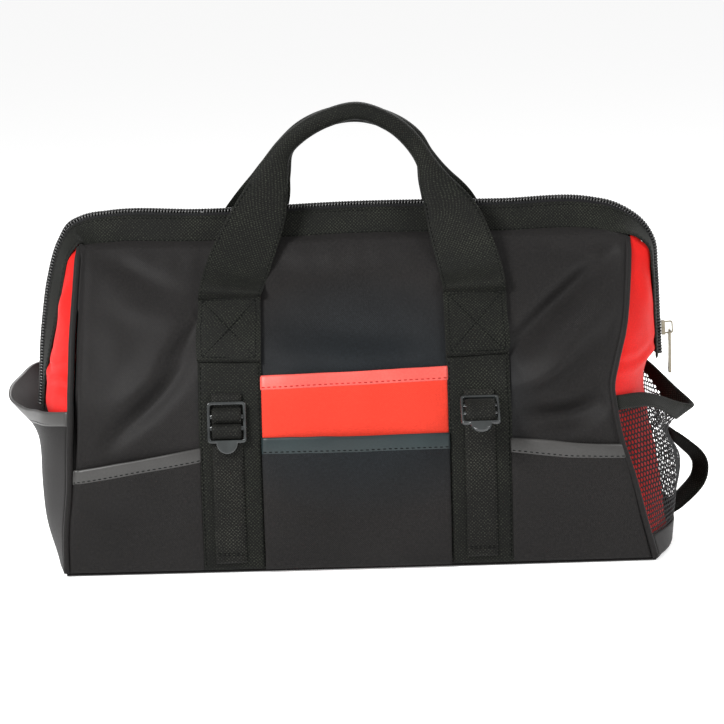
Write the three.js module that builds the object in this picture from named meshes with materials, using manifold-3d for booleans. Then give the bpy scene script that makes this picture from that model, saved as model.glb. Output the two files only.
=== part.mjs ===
// A gate-mouth tool bag, closed and standing on its base, in millimetres with +Z up.
// The origin is the middle of the base's underside. The front faces -Y, and +X is to its right.
// The zip runs in the plane Y = 0: up the left end, along the top and down the right end.
// Cloth pieces are walls made from a grid of points with an inner and an outer face.

import * as THREE from "three";
import { mergeVertices } from "three/addons/utils/BufferGeometryUtils.js";
import Module from "manifold-3d";

const wasm = await Module();
wasm.setup();

// Body sizes
const half_length = 254;
const half_depth = 120;
const body_height = 292;
const cloth_wall = 2;
const base_thickness = 3;
const gap = 0.35;

// Mouth: zip, tapes and the webbing bands that hide the wire frame
const band_width = 26;
const band_thickness = 1.8;
const band_inset = 6;
const coil_width = 5.6;
const coil_height = 5;
const tape_thickness = 0.8;
const tape_tuck = 11;

// Seams and webbing
const piping_radius = 2.6;
const webbing_width = 50;
const webbing_thickness = 1.7;
const webbing_left_x = -111;
const webbing_right_x = 94;
const webbing_top = 218;
const layer_step_height = 174;

// Handles
const sewn_length = 47;
const grip_gap = 3;
const handle_lift = 87;
const back_handle_lift = 82;
const handle_rise = body_height + handle_lift;
const back_handle_rise = body_height + back_handle_lift;
const sewn_row_margin = 4;

// Pockets
const pocket_wall = 1.6;
const pocket_gape = 8;
const pocket_slack = 0.8;
const left_pocket_seam_rim = 90;
const left_pocket_web_rim = 107;
const right_pocket_web_rim = 108;
const right_pocket_seam_rim = 100;
const red_pocket_left_rim = 163;
const red_pocket_right_rim = 167;
const red_binding_height = 10;
const centre_pocket_rim = 114;
const red_pocket_gape = 2;
const binding_height = 12;
const binding_thickness = 0.9;
const end_pocket_wall = 1.8;
const end_pocket_clearance = 1.3;
const net_bar_share = 0.3;
const mesh_wall = 1.2;
const mesh_holes_across = 12;
const mesh_holes_up = 6;
const foot_height = 20;

// Cinch straps and ladder locks
const strap_width = 25;
const strap_thickness = 1.4;
const lock_width = 32;
const lock_height = 34;
const lock_thickness = 3;
const lock_rim = 2.6;
const lock_tab = 9;
const left_lock_top = 143;
const right_lock_top = 141;
const left_lock_tilt = 0;
const right_lock_tilt = 50;
const left_strap_shift = -3;
const right_strap_shift = 0;
const tail_end = 10;

// Loop on the right end
const loop_width = 20;
const loop_reach = 24;
const loop_top = 78;
const loop_bottom = 18;
const loop_tab = 8;
const loop_y = 18;

// Zip slider and its pull
const slider_height = 177;
const slider_length = 12;
const slider_width = 9;
const slider_thickness = 3;
const crown_wire = 1.2;
const crown_reach = 7;
const crown_width = 2.4;
const pull_length = 38;
const pull_width = 9;
const pull_thickness = 2;
const pull_pin_radius = 1;
const pull_pivot_reach = 3.8;
const pull_eye = 9.5;
const pull_play = 0.4;
const pull_slot_rise = 6;
const pull_slot_length = 6;

// Seam columns: height as a share of the seam's own height, then where the left and right seams
// stand as shares of half_length, and how deep the seam and the panel's middle stand as shares
// of half_depth.
const SEAM_ROWS = [
  { t: 0.0, left: 0.99, right: 0.937, depth: 0.97, belly: 0.985 },
  { t: 0.12, left: 0.986, right: 0.904, depth: 0.985, belly: 1.005 },
  { t: 0.27, left: 0.969, right: 0.866, depth: 0.98, belly: 1.01 },
  { t: 0.4, left: 0.963, right: 0.826, depth: 0.96, belly: 0.995 },
  { t: 0.49, left: 0.958, right: 0.811, depth: 0.925, belly: 0.965 },
  { t: 0.56, left: 0.957, right: 0.805, depth: 0.88, belly: 0.925 },
  { t: 0.63, left: 0.955, right: 0.823, depth: 0.805, belly: 0.855 },
  { t: 0.73, left: 0.953, right: 0.854, depth: 0.67, belly: 0.725 },
  { t: 0.86, left: 0.947, right: 0.878, depth: 0.43, belly: 0.46 },
  { t: 1.0, left: 0.94, right: 0.895, depth: 0.16, belly: 0.16 },
];

// Middle of each end panel, as shares of half_length.
const END_ROWS = [
  { t: 0.0, left: 1.0, right: 1.02 },
  { t: 0.12, left: 1.03, right: 1.006 },
  { t: 0.27, left: 1.045, right: 0.982 },
  { t: 0.4, left: 1.05, right: 0.957 },
  { t: 0.49, left: 1.055, right: 0.95 },
  { t: 0.6, left: 1.055, right: 0.953 },
  { t: 1.0, left: 1.0, right: 0.96 },
];

// The zip's line from the left end over the top to the right end: x as a share of half_length,
// z as a share of body_height, the band's lean below the zip's plane in degrees, and how far the
// band starts below the zip as a share of band_inset.
const MOUTH_ROWS = [
  { x: -1.102, z: 0.428, lean: 8, inset: 0.85 },
  { x: -1.092, z: 0.531, lean: 10, inset: 0.85 },
  { x: -1.086, z: 0.606, lean: 18, inset: 0.85 },
  { x: -1.072, z: 0.703, lean: 26, inset: 0.85 },
  { x: -1.052, z: 0.801, lean: 28, inset: 0.85 },
  { x: -1.007, z: 0.918, lean: 28, inset: 0.85 },
  { x: -0.975, z: 0.96, lean: 36, inset: 0.9 },
  { x: -0.93, z: 0.984, lean: 50, inset: 0.95 },
  { x: -0.839, z: 0.997, lean: 62, inset: 1 },
  { x: -0.537, z: 0.988, lean: 62, inset: 1 },
  { x: 0.0, z: 0.99, lean: 62, inset: 1 },
  { x: 0.472, z: 0.998, lean: 62, inset: 1 },
  { x: 0.776, z: 1.0, lean: 62, inset: 1 },
  { x: 0.85, z: 0.982, lean: 52, inset: 0.95 },
  { x: 0.9, z: 0.955, lean: 38, inset: 0.9 },
  { x: 0.95, z: 0.92, lean: 24, inset: 0.85 },
  { x: 0.984, z: 0.87, lean: 12, inset: 0.85 },
  { x: 0.993, z: 0.79, lean: 9, inset: 0.85 },
  { x: 0.997, z: 0.71, lean: 8, inset: 0.85 },
  { x: 1.0, z: 0.62, lean: 8, inset: 0.85 },
  { x: 1.004, z: 0.531, lean: 8, inset: 0.85 },
];

// Rims of the end pockets: where across the end as a share of the seam's depth, how far the rim
// stands out from the end panel as a share of half_length, and its height as a share of body_height.
const LEFT_RIM_ROWS = [
  { across: -1, out: 0.0, z: 0.473 },
  { across: -0.76, out: 0.038, z: 0.459 },
  { across: -0.58, out: 0.05, z: 0.453 },
  { across: -0.27, out: 0.098, z: 0.443 },
  { across: -0.07, out: 0.145, z: 0.457 },
  { across: 0.13, out: 0.155, z: 0.477 },
  { across: 0.4, out: 0.14, z: 0.495 },
  { across: 0.72, out: 0.11, z: 0.515 },
  { across: 1, out: 0.0, z: 0.51 },
];
const MESH_RIM_ROWS = [
  { across: -1, out: 0.0, z: 0.476 },
  { across: -0.66, out: 0.022, z: 0.459 },
  { across: -0.42, out: 0.055, z: 0.432 },
  { across: -0.11, out: 0.125, z: 0.387 },
  { across: 0.02, out: 0.162, z: 0.374 },
  { across: 0.2, out: 0.115, z: 0.418 },
  { across: 0.45, out: 0.055, z: 0.48 },
  { across: 1, out: 0.0, z: 0.495 },
];

// How far an end pocket stands out from the end panel up its middle: height as a share of the
// rim's, slack as a share of half_length, and how much of the rim's flare has begun.
const LEFT_SLACK_ROWS = [
  { h: 0.0, slack: 0.0, flare: 0.0 },
  { h: 0.2, slack: 0.024, flare: 0.0 },
  { h: 0.5, slack: 0.04, flare: 0.0 },
  { h: 0.82, slack: 0.045, flare: 0.06 },
  { h: 0.91, slack: 0.03, flare: 0.45 },
  { h: 1.0, slack: 0.0, flare: 1.0 },
];
const MESH_SLACK_ROWS = [
  { h: 0.0, slack: 0.0, flare: 0.0 },
  { h: 0.12, slack: 0.016, flare: 0.0 },
  { h: 0.28, slack: 0.04, flare: 0.0 },
  { h: 0.58, slack: 0.072, flare: 0.0 },
  { h: 0.82, slack: 0.052, flare: 0.03 },
  { h: 0.91, slack: 0.028, flare: 0.45 },
  { h: 1.0, slack: 0.0, flare: 1.0 },
];

// The handles' middle line from the left sewn end to the right one: x as a share of half_length,
// height as a share of the way from the top of the sewn part to the rise, how far it has come in
// from the panel to the grip's plane, and how far the webbing is rolled, from flat to a tube.
const FRONT_HANDLE_ROWS = [
  { x: -0.432, up: 0.0, inward: 0.0, roll: 0 },
  { x: -0.425, up: 0.07, inward: 0.1, roll: 0 },
  { x: -0.4, up: 0.2, inward: 0.35, roll: 0.02 },
  { x: -0.345, up: 0.46, inward: 0.68, roll: 0.08 },
  { x: -0.308, up: 0.64, inward: 0.84, roll: 0.3 },
  { x: -0.262, up: 0.78, inward: 0.95, roll: 0.8 },
  { x: -0.19, up: 0.885, inward: 1.0, roll: 1 },
  { x: -0.1, up: 0.965, inward: 1.0, roll: 1 },
  { x: 0.005, up: 1.0, inward: 1.0, roll: 1 },
  { x: 0.11, up: 0.93, inward: 1.0, roll: 1 },
  { x: 0.18, up: 0.825, inward: 1.0, roll: 1 },
  { x: 0.24, up: 0.7, inward: 0.92, roll: 0.7 },
  { x: 0.275, up: 0.57, inward: 0.8, roll: 0.25 },
  { x: 0.315, up: 0.4, inward: 0.62, roll: 0.06 },
  { x: 0.355, up: 0.19, inward: 0.33, roll: 0.02 },
  { x: 0.372, up: 0.07, inward: 0.1, roll: 0 },
  { x: 0.375, up: 0.0, inward: 0.0, roll: 0 },
];
const BACK_HANDLE_ROWS = [
  { x: -0.432, up: 0.0, inward: 0.0, roll: 0 },
  { x: -0.43, up: 0.07, inward: 0.1, roll: 0 },
  { x: -0.41, up: 0.25, inward: 0.4, roll: 0.02 },
  { x: -0.345, up: 0.5, inward: 0.7, roll: 0.08 },
  { x: -0.3, up: 0.67, inward: 0.86, roll: 0.3 },
  { x: -0.255, up: 0.81, inward: 0.95, roll: 0.8 },
  { x: -0.18, up: 0.92, inward: 1.0, roll: 1 },
  { x: -0.09, up: 0.985, inward: 1.0, roll: 1 },
  { x: 0.01, up: 1.0, inward: 1.0, roll: 1 },
  { x: 0.11, up: 0.95, inward: 1.0, roll: 1 },
  { x: 0.19, up: 0.86, inward: 1.0, roll: 1 },
  { x: 0.25, up: 0.74, inward: 0.92, roll: 0.7 },
  { x: 0.285, up: 0.6, inward: 0.8, roll: 0.25 },
  { x: 0.32, up: 0.42, inward: 0.62, roll: 0.06 },
  { x: 0.36, up: 0.19, inward: 0.33, roll: 0.02 },
  { x: 0.372, up: 0.07, inward: 0.1, roll: 0 },
  { x: 0.375, up: 0.0, inward: 0.0, roll: 0 },
];

// Dents in the front and back panels: centre as shares of half_length and body_height, radii along
// and across the dent as shares of half_length, its turn in degrees and its depth in shares of half_depth.
const DENT_ROWS = [
  { x: -0.66, z: 0.66, along: 0.3, across: 0.07, turn: 55, depth: 0.05 },
  { x: -0.78, z: 0.49, along: 0.2, across: 0.06, turn: 30, depth: 0.03 },
  { x: 0.66, z: 0.76, along: 0.28, across: 0.07, turn: 32, depth: 0.045 },
  { x: 0.62, z: 0.55, along: 0.22, across: 0.07, turn: 40, depth: 0.05 },
  { x: -0.06, z: 0.74, along: 0.22, across: 0.09, turn: -12, depth: 0.03 },
];

// Maths helpers

const radians = THREE.MathUtils.degToRad;
const lerp = THREE.MathUtils.lerp;
const vec = (x, y, z) => new THREE.Vector3(x, y, z);
const smoothstep = (low, high, value) => THREE.MathUtils.smoothstep(value, low, high);

// A smooth curve through a table: the knots are one column, and the slopes are those of the
// parabola through each row and its neighbours.
function through(knots, values, at) {
  const last = knots.length - 1;
  const p = Math.min(Math.max(at, knots[0]), knots[last]);
  let i = 0;
  while (i < last - 1 && p > knots[i + 1]) i += 1;
  const rise = (a) => (values[a + 1] - values[a]) / (knots[a + 1] - knots[a]);
  const slope = (a) => {
    if (a === 0) return rise(0);
    if (a === last) return rise(last - 1);
    const before = knots[a] - knots[a - 1];
    const after = knots[a + 1] - knots[a];
    return (rise(a - 1) * after + rise(a) * before) / (before + after);
  };
  const span = knots[i + 1] - knots[i];
  const f = (p - knots[i]) / span;
  const g = 1 - f;
  return (
    values[i] * (1 + 2 * f) * g * g +
    slope(i) * span * f * g * g +
    values[i + 1] * f * f * (3 - 2 * f) -
    slope(i + 1) * span * f * f * g
  );
}

const column = (table, name) => table.map((row) => row[name]);
const look = (table, key, name, at) => through(column(table, key), column(table, name), at);

// The input at which a rising sampled function reaches a value.
function solve(fn, target, low, high) {
  const rising = fn(high) > fn(low);
  let a = low;
  let b = high;
  for (let i = 0; i < 50; i += 1) {
    const m = (a + b) / 2;
    if (fn(m) < target === rising) a = m;
    else b = m;
  }
  return (a + b) / 2;
}

// Solids

// A wall from a grid of points: pointAt(i, j, face) gives the inner face at 0 and the outer at 1.
// Cells that keep turns down are left open, and every open edge gets a side wall.
function wallFromGrid(rows, columns, pointAt, keep = () => true, turned = false) {
  const positions = [];
  const index = [];
  const at = (i, j, face) => (i * columns + j) * 2 + face;
  for (let i = 0; i < rows; i += 1) {
    for (let j = 0; j < columns; j += 1) {
      for (const face of [0, 1]) positions.push(...pointAt(i, j, face).toArray());
    }
  }
  const quad = (a, b, c, d) => {
    if (turned) index.push(a, c, b, a, d, c);
    else index.push(a, b, c, a, c, d);
  };
  const open = (i, j) => i < 0 || j < 0 || i >= rows - 1 || j >= columns - 1 || !keep(i, j);
  for (let i = 0; i < rows - 1; i += 1) {
    for (let j = 0; j < columns - 1; j += 1) {
      if (!keep(i, j)) continue;
      quad(at(i, j, 1), at(i, j + 1, 1), at(i + 1, j + 1, 1), at(i + 1, j, 1));
      quad(at(i, j, 0), at(i + 1, j, 0), at(i + 1, j + 1, 0), at(i, j + 1, 0));
      if (open(i - 1, j)) quad(at(i, j, 0), at(i, j + 1, 0), at(i, j + 1, 1), at(i, j, 1));
      if (open(i + 1, j)) quad(at(i + 1, j + 1, 0), at(i + 1, j, 0), at(i + 1, j, 1), at(i + 1, j + 1, 1));
      if (open(i, j - 1)) quad(at(i + 1, j, 0), at(i, j, 0), at(i, j, 1), at(i + 1, j, 1));
      if (open(i, j + 1)) quad(at(i, j + 1, 0), at(i + 1, j + 1, 0), at(i + 1, j + 1, 1), at(i, j + 1, 1));
    }
  }
  const geometry = new THREE.BufferGeometry();
  geometry.setAttribute("position", new THREE.Float32BufferAttribute(positions, 3));
  geometry.setIndex(index);
  return geometry;
}

// A closed tube from rings of points, with flat ends.
function tubeFromRings(rings) {
  const sides = rings[0].length;
  const positions = rings.flat().flatMap((p) => p.toArray());
  const index = [];
  for (let i = 0; i < rings.length - 1; i += 1) {
    for (let j = 0; j < sides; j += 1) {
      const a = i * sides + j;
      const b = i * sides + ((j + 1) % sides);
      index.push(a, b, b + sides, a, b + sides, a + sides);
    }
  }
  const end = (rings.length - 1) * sides;
  for (let j = 1; j < sides - 1; j += 1) {
    index.push(0, j + 1, j, end, end + j, end + j + 1);
  }
  const geometry = new THREE.BufferGeometry();
  geometry.setAttribute("position", new THREE.Float32BufferAttribute(positions, 3));
  geometry.setIndex(index);
  return geometry;
}

function toSolid(geometry, matrix = new THREE.Matrix4()) {
  const bare = geometry.clone().applyMatrix4(matrix);
  bare.deleteAttribute("normal");
  bare.deleteAttribute("uv");
  const merged = mergeVertices(bare, 1e-4);
  return new wasm.Manifold(
    new wasm.Mesh({
      numProp: 3,
      vertProperties: new Float32Array(merged.attributes.position.array),
      triVerts: new Uint32Array(merged.index.array),
    }),
  );
}

function fromSolid(solid) {
  const mesh = solid.getMesh();
  const geometry = new THREE.BufferGeometry();
  geometry.setAttribute("position", new THREE.Float32BufferAttribute(mesh.vertProperties, 3));
  geometry.setIndex([...mesh.triVerts]);
  return geometry;
}

// Materials

const material = (color, roughness, metalness = 0) =>
  new THREE.MeshStandardMaterial({ color, roughness, metalness, side: THREE.DoubleSide });
const black_cloth = material(0x26262a, 0.85);
const red_cloth = material(0xe5231b, 0.8);
const black_webbing = material(0x1f201d, 0.8);
const grey_binding = material(0x55595a, 0.5);
const red_binding = material(0xee5a50, 0.5);
const black_mesh = material(0x161616, 0.8);
const black_plastic = material(0x1b1d1f, 0.4);
const bright_metal = material(0xb9b49a, 0.3, 1);

const bag = new THREE.Group();
bag.name = "tool_bag";

function add(name, geometry, look_of_it, parent = bag) {
  geometry.computeVertexNormals();
  const mesh = new THREE.Mesh(geometry, look_of_it);
  mesh.name = name;
  parent.add(mesh);
  return mesh;
}

// The mouth's line

const mouth_x = MOUTH_ROWS.map((row) => row.x * half_length);
const mouth_z = MOUTH_ROWS.map((row) => row.z * body_height);
const mouth_knots = [0];
for (let i = 1; i < MOUTH_ROWS.length; i += 1) {
  const step = Math.hypot(mouth_x[i] - mouth_x[i - 1], mouth_z[i] - mouth_z[i - 1]);
  mouth_knots.push(mouth_knots[i - 1] + step);
}
const mouth_length = mouth_knots[mouth_knots.length - 1];

// The zip line's place and inward direction at a distance along it.
function mouthFrame(p) {
  const x = (q) => through(mouth_knots, mouth_x, q);
  const z = (q) => through(mouth_knots, mouth_z, q);
  const low = Math.max(p - 2, 0);
  const high = Math.min(p + 2, mouth_length);
  const tangent = vec(x(high) - x(low), 0, z(high) - z(low)).normalize();
  return { at: vec(x(p), 0, z(p)), inward: vec(tangent.z, 0, -tangent.x) };
}

// A point of the band: share w of its width below its upper edge, and off its inner face.
// facing is -1 on the front and 1 on the back.
function bandPoint(p, w, off, facing) {
  const { at, inward } = mouthFrame(p);
  const lean = radians(through(mouth_knots, column(MOUTH_ROWS, "lean"), p));
  const inset = band_inset * through(mouth_knots, column(MOUTH_ROWS, "inset"), p);
  const down = w * band_width;
  return at
    .clone()
    .addScaledVector(inward, inset + down * Math.sin(lean) - off * Math.cos(lean))
    .add(vec(0, facing * (inset + down * Math.cos(lean) + off * Math.sin(lean)), 0));
}

const edge_w = 1 + gap / band_width;
const mouth_middle = solve((p) => mouthFrame(p).at.x, 0, 0, mouth_length);

// Where along the mouth the band's lower edge stands at a given x of its top run.
function mouthAtX(x) {
  const edge_x = (p) => bandPoint(p, edge_w, 0, -1).x;
  const reach = mouth_length * 0.36;
  return solve(edge_x, x, mouth_middle - reach, mouth_middle + reach);
}

// Seams between the front or back panel and the end panels

const seam_edge = piping_radius + 2 * gap;
const side_name = (side) => (side < 0 ? "left" : "right");
const seamShareX = (side, t) => side * half_length * look(SEAM_ROWS, "t", side_name(side), t);
const seam_top = {};
for (const side of [-1, 1]) {
  const p = mouthAtX(seamShareX(side, 1));
  seam_top[side] = { p, at: bandPoint(p, edge_w, 0, -1) };
}

// A point on a seam at share t of its height. It is drawn onto the band's lower edge at the top.
function seamPoint(side, t, facing) {
  const top = seam_top[side].at;
  const settle = t ** 4;
  const y = half_depth * look(SEAM_ROWS, "t", "depth", t);
  const top_y = half_depth * look(SEAM_ROWS, "t", "depth", 1);
  return vec(
    seamShareX(side, t) + settle * (top.x - seamShareX(side, 1)),
    facing * (y + settle * (-top.y - top_y)),
    base_thickness + gap + t * (top.z - base_thickness - gap),
  );
}

// How far the dents press in at a point of the front or back panel.
function dentAt(x, z) {
  return DENT_ROWS.reduce((sum, row) => {
    const dx = (x - row.x * half_length) / half_length;
    const dz = (z - row.z * body_height) / half_length;
    const turn = radians(row.turn);
    const along = (dx * Math.cos(turn) + dz * Math.sin(turn)) / row.along;
    const across = (dz * Math.cos(turn) - dx * Math.sin(turn)) / row.across;
    return sum + row.depth * half_depth * Math.exp(-(along ** 2) - across ** 2);
  }, 0);
}

// The height of the band's lower edge above a given x.
function edgeHeight(x) {
  const clamped = Math.min(Math.max(x, seam_top[-1].at.x), seam_top[1].at.x);
  return bandPoint(mouthAtX(clamped), edge_w, 0, -1).z;
}

const panel_foot = base_thickness + gap;

// The outer face of the front or back panel at x and share t of its height, moved out by off.
function panelFace(x, t, facing) {
  const left = seamPoint(-1, t, facing);
  const right = seamPoint(1, t, facing);
  const u = (x - left.x) / (right.x - left.x);
  const z = panel_foot + t * (edgeHeight(x) - panel_foot);
  const seam_y = Math.abs(lerp(left.y, right.y, u));
  const belly = half_depth * (look(SEAM_ROWS, "t", "belly", t) - look(SEAM_ROWS, "t", "depth", t));
  const crown = 1 - Math.abs(2 * u - 1) ** 2.5;
  const free = smoothstep(1, 0.9, t) * smoothstep(0, 0.08, u) * smoothstep(1, 0.92, u);
  return vec(x, facing * (seam_y + belly * crown - dentAt(x, z) * free), z);
}

function panelPoint(x, t, off, facing) {
  const step = 0.004;
  const centre = panelFace(x, t, facing);
  const across = panelFace(x + 1, t, facing).sub(panelFace(x - 1, t, facing));
  const up = panelFace(x, Math.min(t + step, 1), facing).sub(panelFace(x, Math.max(t - step, 0), facing));
  const out = across.cross(up).normalize().multiplyScalar(-facing);
  return centre.addScaledVector(out, off);
}

// The same point by height instead of share.
function panelPointAtHeight(x, z, off, facing) {
  return panelPoint(x, (z - panel_foot) / (edgeHeight(x) - panel_foot), off, facing);
}

// Grid lines of the front and back panels. The columns keep to the webbing's edges, so that what
// lies on the panel shares its facets.
const panel_rows = column(SEAM_ROWS, "t");
const web_edges = [webbing_left_x, webbing_right_x].map((x) => [x - webbing_width / 2, x + webbing_width / 2]);
const zone_steps = { outer: 5, webbing: 2, centre: 5 };

function spread(from, to, steps) {
  return Array.from({ length: steps + 1 }, (_, i) => lerp(from, to, i / steps));
}

function zoneColumns(zone, t) {
  const first = seamPoint(-1, t, -1).x + seam_edge;
  const last = seamPoint(1, t, -1).x - seam_edge;
  if (zone === "left") return spread(first, web_edges[0][0], zone_steps.outer);
  if (zone === "left_web") return spread(...web_edges[0], zone_steps.webbing);
  if (zone === "centre") return spread(web_edges[0][1], web_edges[1][0], zone_steps.centre);
  if (zone === "right_web") return spread(...web_edges[1], zone_steps.webbing);
  return spread(web_edges[1][1], last, zone_steps.outer);
}

const zones = ["left", "left_web", "centre", "right_web", "right"];
function panelColumns(t) {
  return zones.flatMap((zone, i) => zoneColumns(zone, t).slice(i ? 1 : 0));
}

const top_columns = panelColumns(1);
const top_stations = top_columns.map(mouthAtX);

function makePanel(name, facing) {
  const rows = panel_rows.length;
  const columns = top_columns.length;
  const grid = panel_rows.map((t) => panelColumns(t));
  const pointAt = (i, j, face) => {
    if (i === rows - 1) return bandPoint(top_stations[j], edge_w, face * cloth_wall, facing);
    return panelPoint(grid[i][j], panel_rows[i], (face - 1) * cloth_wall, facing);
  };
  add(name, wallFromGrid(rows, columns, pointAt, undefined, facing > 0), black_cloth);
}
makePanel("front_panel", -1);
makePanel("back_panel", 1);

// End panels. Above the mouth's lower end the panel is two strips, one on each side of the zip.

const mouth_end = { [-1]: 0, 1: mouth_length };
const end_inner = {};
for (const side of [-1, 1]) end_inner[side] = bandPoint(mouth_end[side], edge_w, 0, -1);

// The seam share at which the zip's lower end stands, less the gap under it.
function endShare(side) {
  const cut = mouthFrame(mouth_end[side]).at.z - gap;
  return (cut - panel_foot) / (seam_top[side].at.z - panel_foot);
}

const end_panel_top = 0.93;
const end_rows_below = 6;
const end_rows_above = 7;
const strip_steps = 3;
const middle_steps = 4;

function endRows(side) {
  const share = endShare(side);
  const below = spread(0, share, end_rows_below);
  const above = spread(share, end_panel_top, end_rows_above).slice(1);
  return [...below, ...above];
}

// Stations of the mouth that the end panel's rows meet above the zip's lower end.
function endStation(side, t) {
  const z = seamPoint(side, t, -1).z;
  const height = (q) => bandPoint(lerp(mouth_end[side], seam_top[side].p, q), edge_w, 0, -1).z;
  return lerp(mouth_end[side], seam_top[side].p, solve(height, z, 0, 1));
}

const end_bulge = 0.045 * half_depth;

// The outer face of an end panel: along is 0 at the seam and 1 at the zip band's edge, and inside
// that edge the middle goes on from 1 to 2, where Y = 0.
function endFace(side, t, along, facing) {
  const seam = seamPoint(side, t, facing);
  const share = endShare(side);
  const middle_x = side * half_length * look(END_ROWS, "t", side_name(side), t);
  const inner_y = -end_inner[side].y;
  const split = t > share + 1e-9;
  const inner = split
    ? bandPoint(endStation(side, t), edge_w, band_thickness, facing)
    : vec(lerp(seam.x, middle_x, 0.93), facing * Math.min(inner_y, Math.abs(seam.y) * 0.6), seam.z);
  if (along > 1) {
    const rise = 1 - (2 - along) ** 2;
    return vec(lerp(inner.x, middle_x, rise), inner.y * (2 - along), seam.z);
  }
  const bulge = end_bulge * Math.sin(Math.PI * along) * smoothstep(1.02, 0.8, t);
  return seam.clone().lerp(inner, along).add(vec(side * bulge, facing * bulge * 0.5, 0));
}

function makeEndPanel(side) {
  const rows = endRows(side);
  const share = endShare(side);
  const half = [...spread(0, 1, strip_steps), ...spread(1, 2, middle_steps / 2).slice(1)];
  const columns = [
    ...half.map((along) => ({ along, facing: -1 })),
    ...half.slice(0, -1).reverse().map((along) => ({ along, facing: 1 })),
  ];
  const first_row_above = end_rows_below;
  const seamEdge = (t, facing) => {
    const seam = endFace(side, t, 0, facing);
    const towards = endFace(side, t, 1 / strip_steps, facing).sub(seam);
    return seam.addScaledVector(towards.normalize(), seam_edge);
  };
  const outer = rows.map((t) =>
    columns.map(({ along, facing }) => {
      if (along === 0) return seamEdge(t, facing);
      return endFace(side, t, along, facing);
    }),
  );
  const clampIndex = (i, n) => Math.min(Math.max(i, 0), n - 1);
  const pointAt = (i, j, face) => {
    const { along, facing } = columns[j];
    const t = rows[i];
    if (along === 1 && t > share + 1e-9) {
      return bandPoint(endStation(side, t), edge_w, lerp(band_thickness - cloth_wall, band_thickness, face), facing);
    }
    const grid = (a, b) => outer[clampIndex(a, rows.length)][clampIndex(b, columns.length)];
    const across = grid(i, j + 1).clone().sub(grid(i, j - 1));
    const up = grid(i + 1, j).clone().sub(grid(i - 1, j));
    const out = across.cross(up).multiplyScalar(side);
    if (i === 0) out.z = 0;
    out.normalize();
    return outer[i][j].clone().addScaledVector(out, (face - 1) * cloth_wall);
  };
  const keep = (i, j) => i < first_row_above || j < strip_steps || j >= columns.length - 1 - strip_steps;
  const name = side_name(side) + "_end_panel";
  add(name, wallFromGrid(rows.length, columns.length, pointAt, keep, side < 0), red_cloth);
}
makeEndPanel(-1);
makeEndPanel(1);


// Base board, inside the lower edges of all four walls

function makeBase() {
  const outline = new THREE.Shape();
  const edge = [
    ...panelColumns(0).map((x) => panelFace(x, 0, -1)),
    ...spread(0.1, 2, 6).map((along) => endFace(1, 0, along, -1)),
    ...spread(0.1, 1.9, 6).reverse().map((along) => endFace(1, 0, along, 1)),
    ...panelColumns(0).reverse().map((x) => panelFace(x, 0, 1)),
    ...spread(0.1, 2, 6).map((along) => endFace(-1, 0, along, 1)),
    ...spread(0.1, 1.9, 6).reverse().map((along) => endFace(-1, 0, along, -1)),
  ];
  outline.setFromPoints(edge.map((p) => new THREE.Vector2(p.x, p.y)));
  add("base_panel", new THREE.ExtrudeGeometry(outline, { depth: base_thickness, bevelEnabled: false }), black_cloth);
}
makeBase();

// A round bar along a list of points, as rings square to its course.
function barAlong(points, radius, sides) {
  return tubeFromRings(
    points.map((p, i) => {
      const before = points[Math.max(i - 1, 0)];
      const after = points[Math.min(i + 1, points.length - 1)];
      const tangent = after.clone().sub(before).normalize();
      const across = tangent.clone().cross(vec(1, 0, 0)).normalize();
      const third = tangent.clone().cross(across);
      return Array.from({ length: sides }, (_, k) => {
        const turn = (2 * Math.PI * k) / sides;
        return p
          .clone()
          .addScaledVector(across, radius * Math.cos(turn))
          .addScaledVector(third, radius * Math.sin(turn));
      });
    }),
  );
}

// Piping on the four upright seams
const piping_top = 0.975;
for (const side of [-1, 1]) {
  for (const facing of [-1, 1]) {
    const shares = panel_rows.flatMap((t, i) => (i ? [(panel_rows[i - 1] + t) / 2, t] : [t]));
    const course = shares.map((t) => seamPoint(side, t * piping_top, facing));
    const name = `piping_${facing < 0 ? "front" : "back"}_${side_name(side)}`;
    add(name, barAlong(course, piping_radius, 6), black_cloth);
  }
}

// Mouth bands, zip tapes and coil. Their stations keep to the walls' own grid lines.

const left_stations = endRows(-1).filter((t) => t > endShare(-1) - 1e-9).map((t) => endStation(-1, t));
const right_stations = endRows(1).filter((t) => t > endShare(1) - 1e-9).map((t) => endStation(1, t));
const stations = [...left_stations, ...top_stations, ...right_stations.reverse()];

// The tape runs from beside the coil to the inside of the band.
function tapePoint(p, k, face, facing) {
  const { at, inward } = mouthFrame(p);
  const lift = (1 - face) * tape_thickness;
  if (k === 0) return at.clone().addScaledVector(inward, lift).add(vec(0, facing * (coil_width / 2 + gap), 0));
  const w = k === 1 ? 0 : tape_tuck / band_width;
  return bandPoint(p, w, -gap - lift, facing);
}

for (const facing of [-1, 1]) {
  const where = facing < 0 ? "front" : "back";
  const band_shares = [1, tape_tuck / band_width, 0];
  const bandAt = (i, j, face) => bandPoint(stations[i], band_shares[j], face * band_thickness, facing);
  add(`mouth_band_${where}`, wallFromGrid(stations.length, 3, bandAt, undefined, facing < 0), black_webbing);
  const tapeAt = (i, j, face) => tapePoint(stations[i], 2 - j, face, facing);
  add(`zip_tape_${where}`, wallFromGrid(stations.length, 3, tapeAt, undefined, facing < 0), black_webbing);
}

function makeCoil() {
  const sides = 6;
  const rings = stations.map((p) => {
    const { at, inward } = mouthFrame(p);
    return Array.from({ length: sides }, (_, k) => {
      const turn = (2 * Math.PI * k) / sides;
      return at
        .clone()
        .addScaledVector(inward, (-Math.sin(turn) * coil_height) / 2)
        .add(vec(0, (Math.cos(turn) * coil_width) / 2, 0));
    });
  });
  add("zip_coil", tubeFromRings(rings), black_plastic);
}
makeCoil();

// Points on the facets of the front or back panel: f is the share across a zone of its grid.

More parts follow.
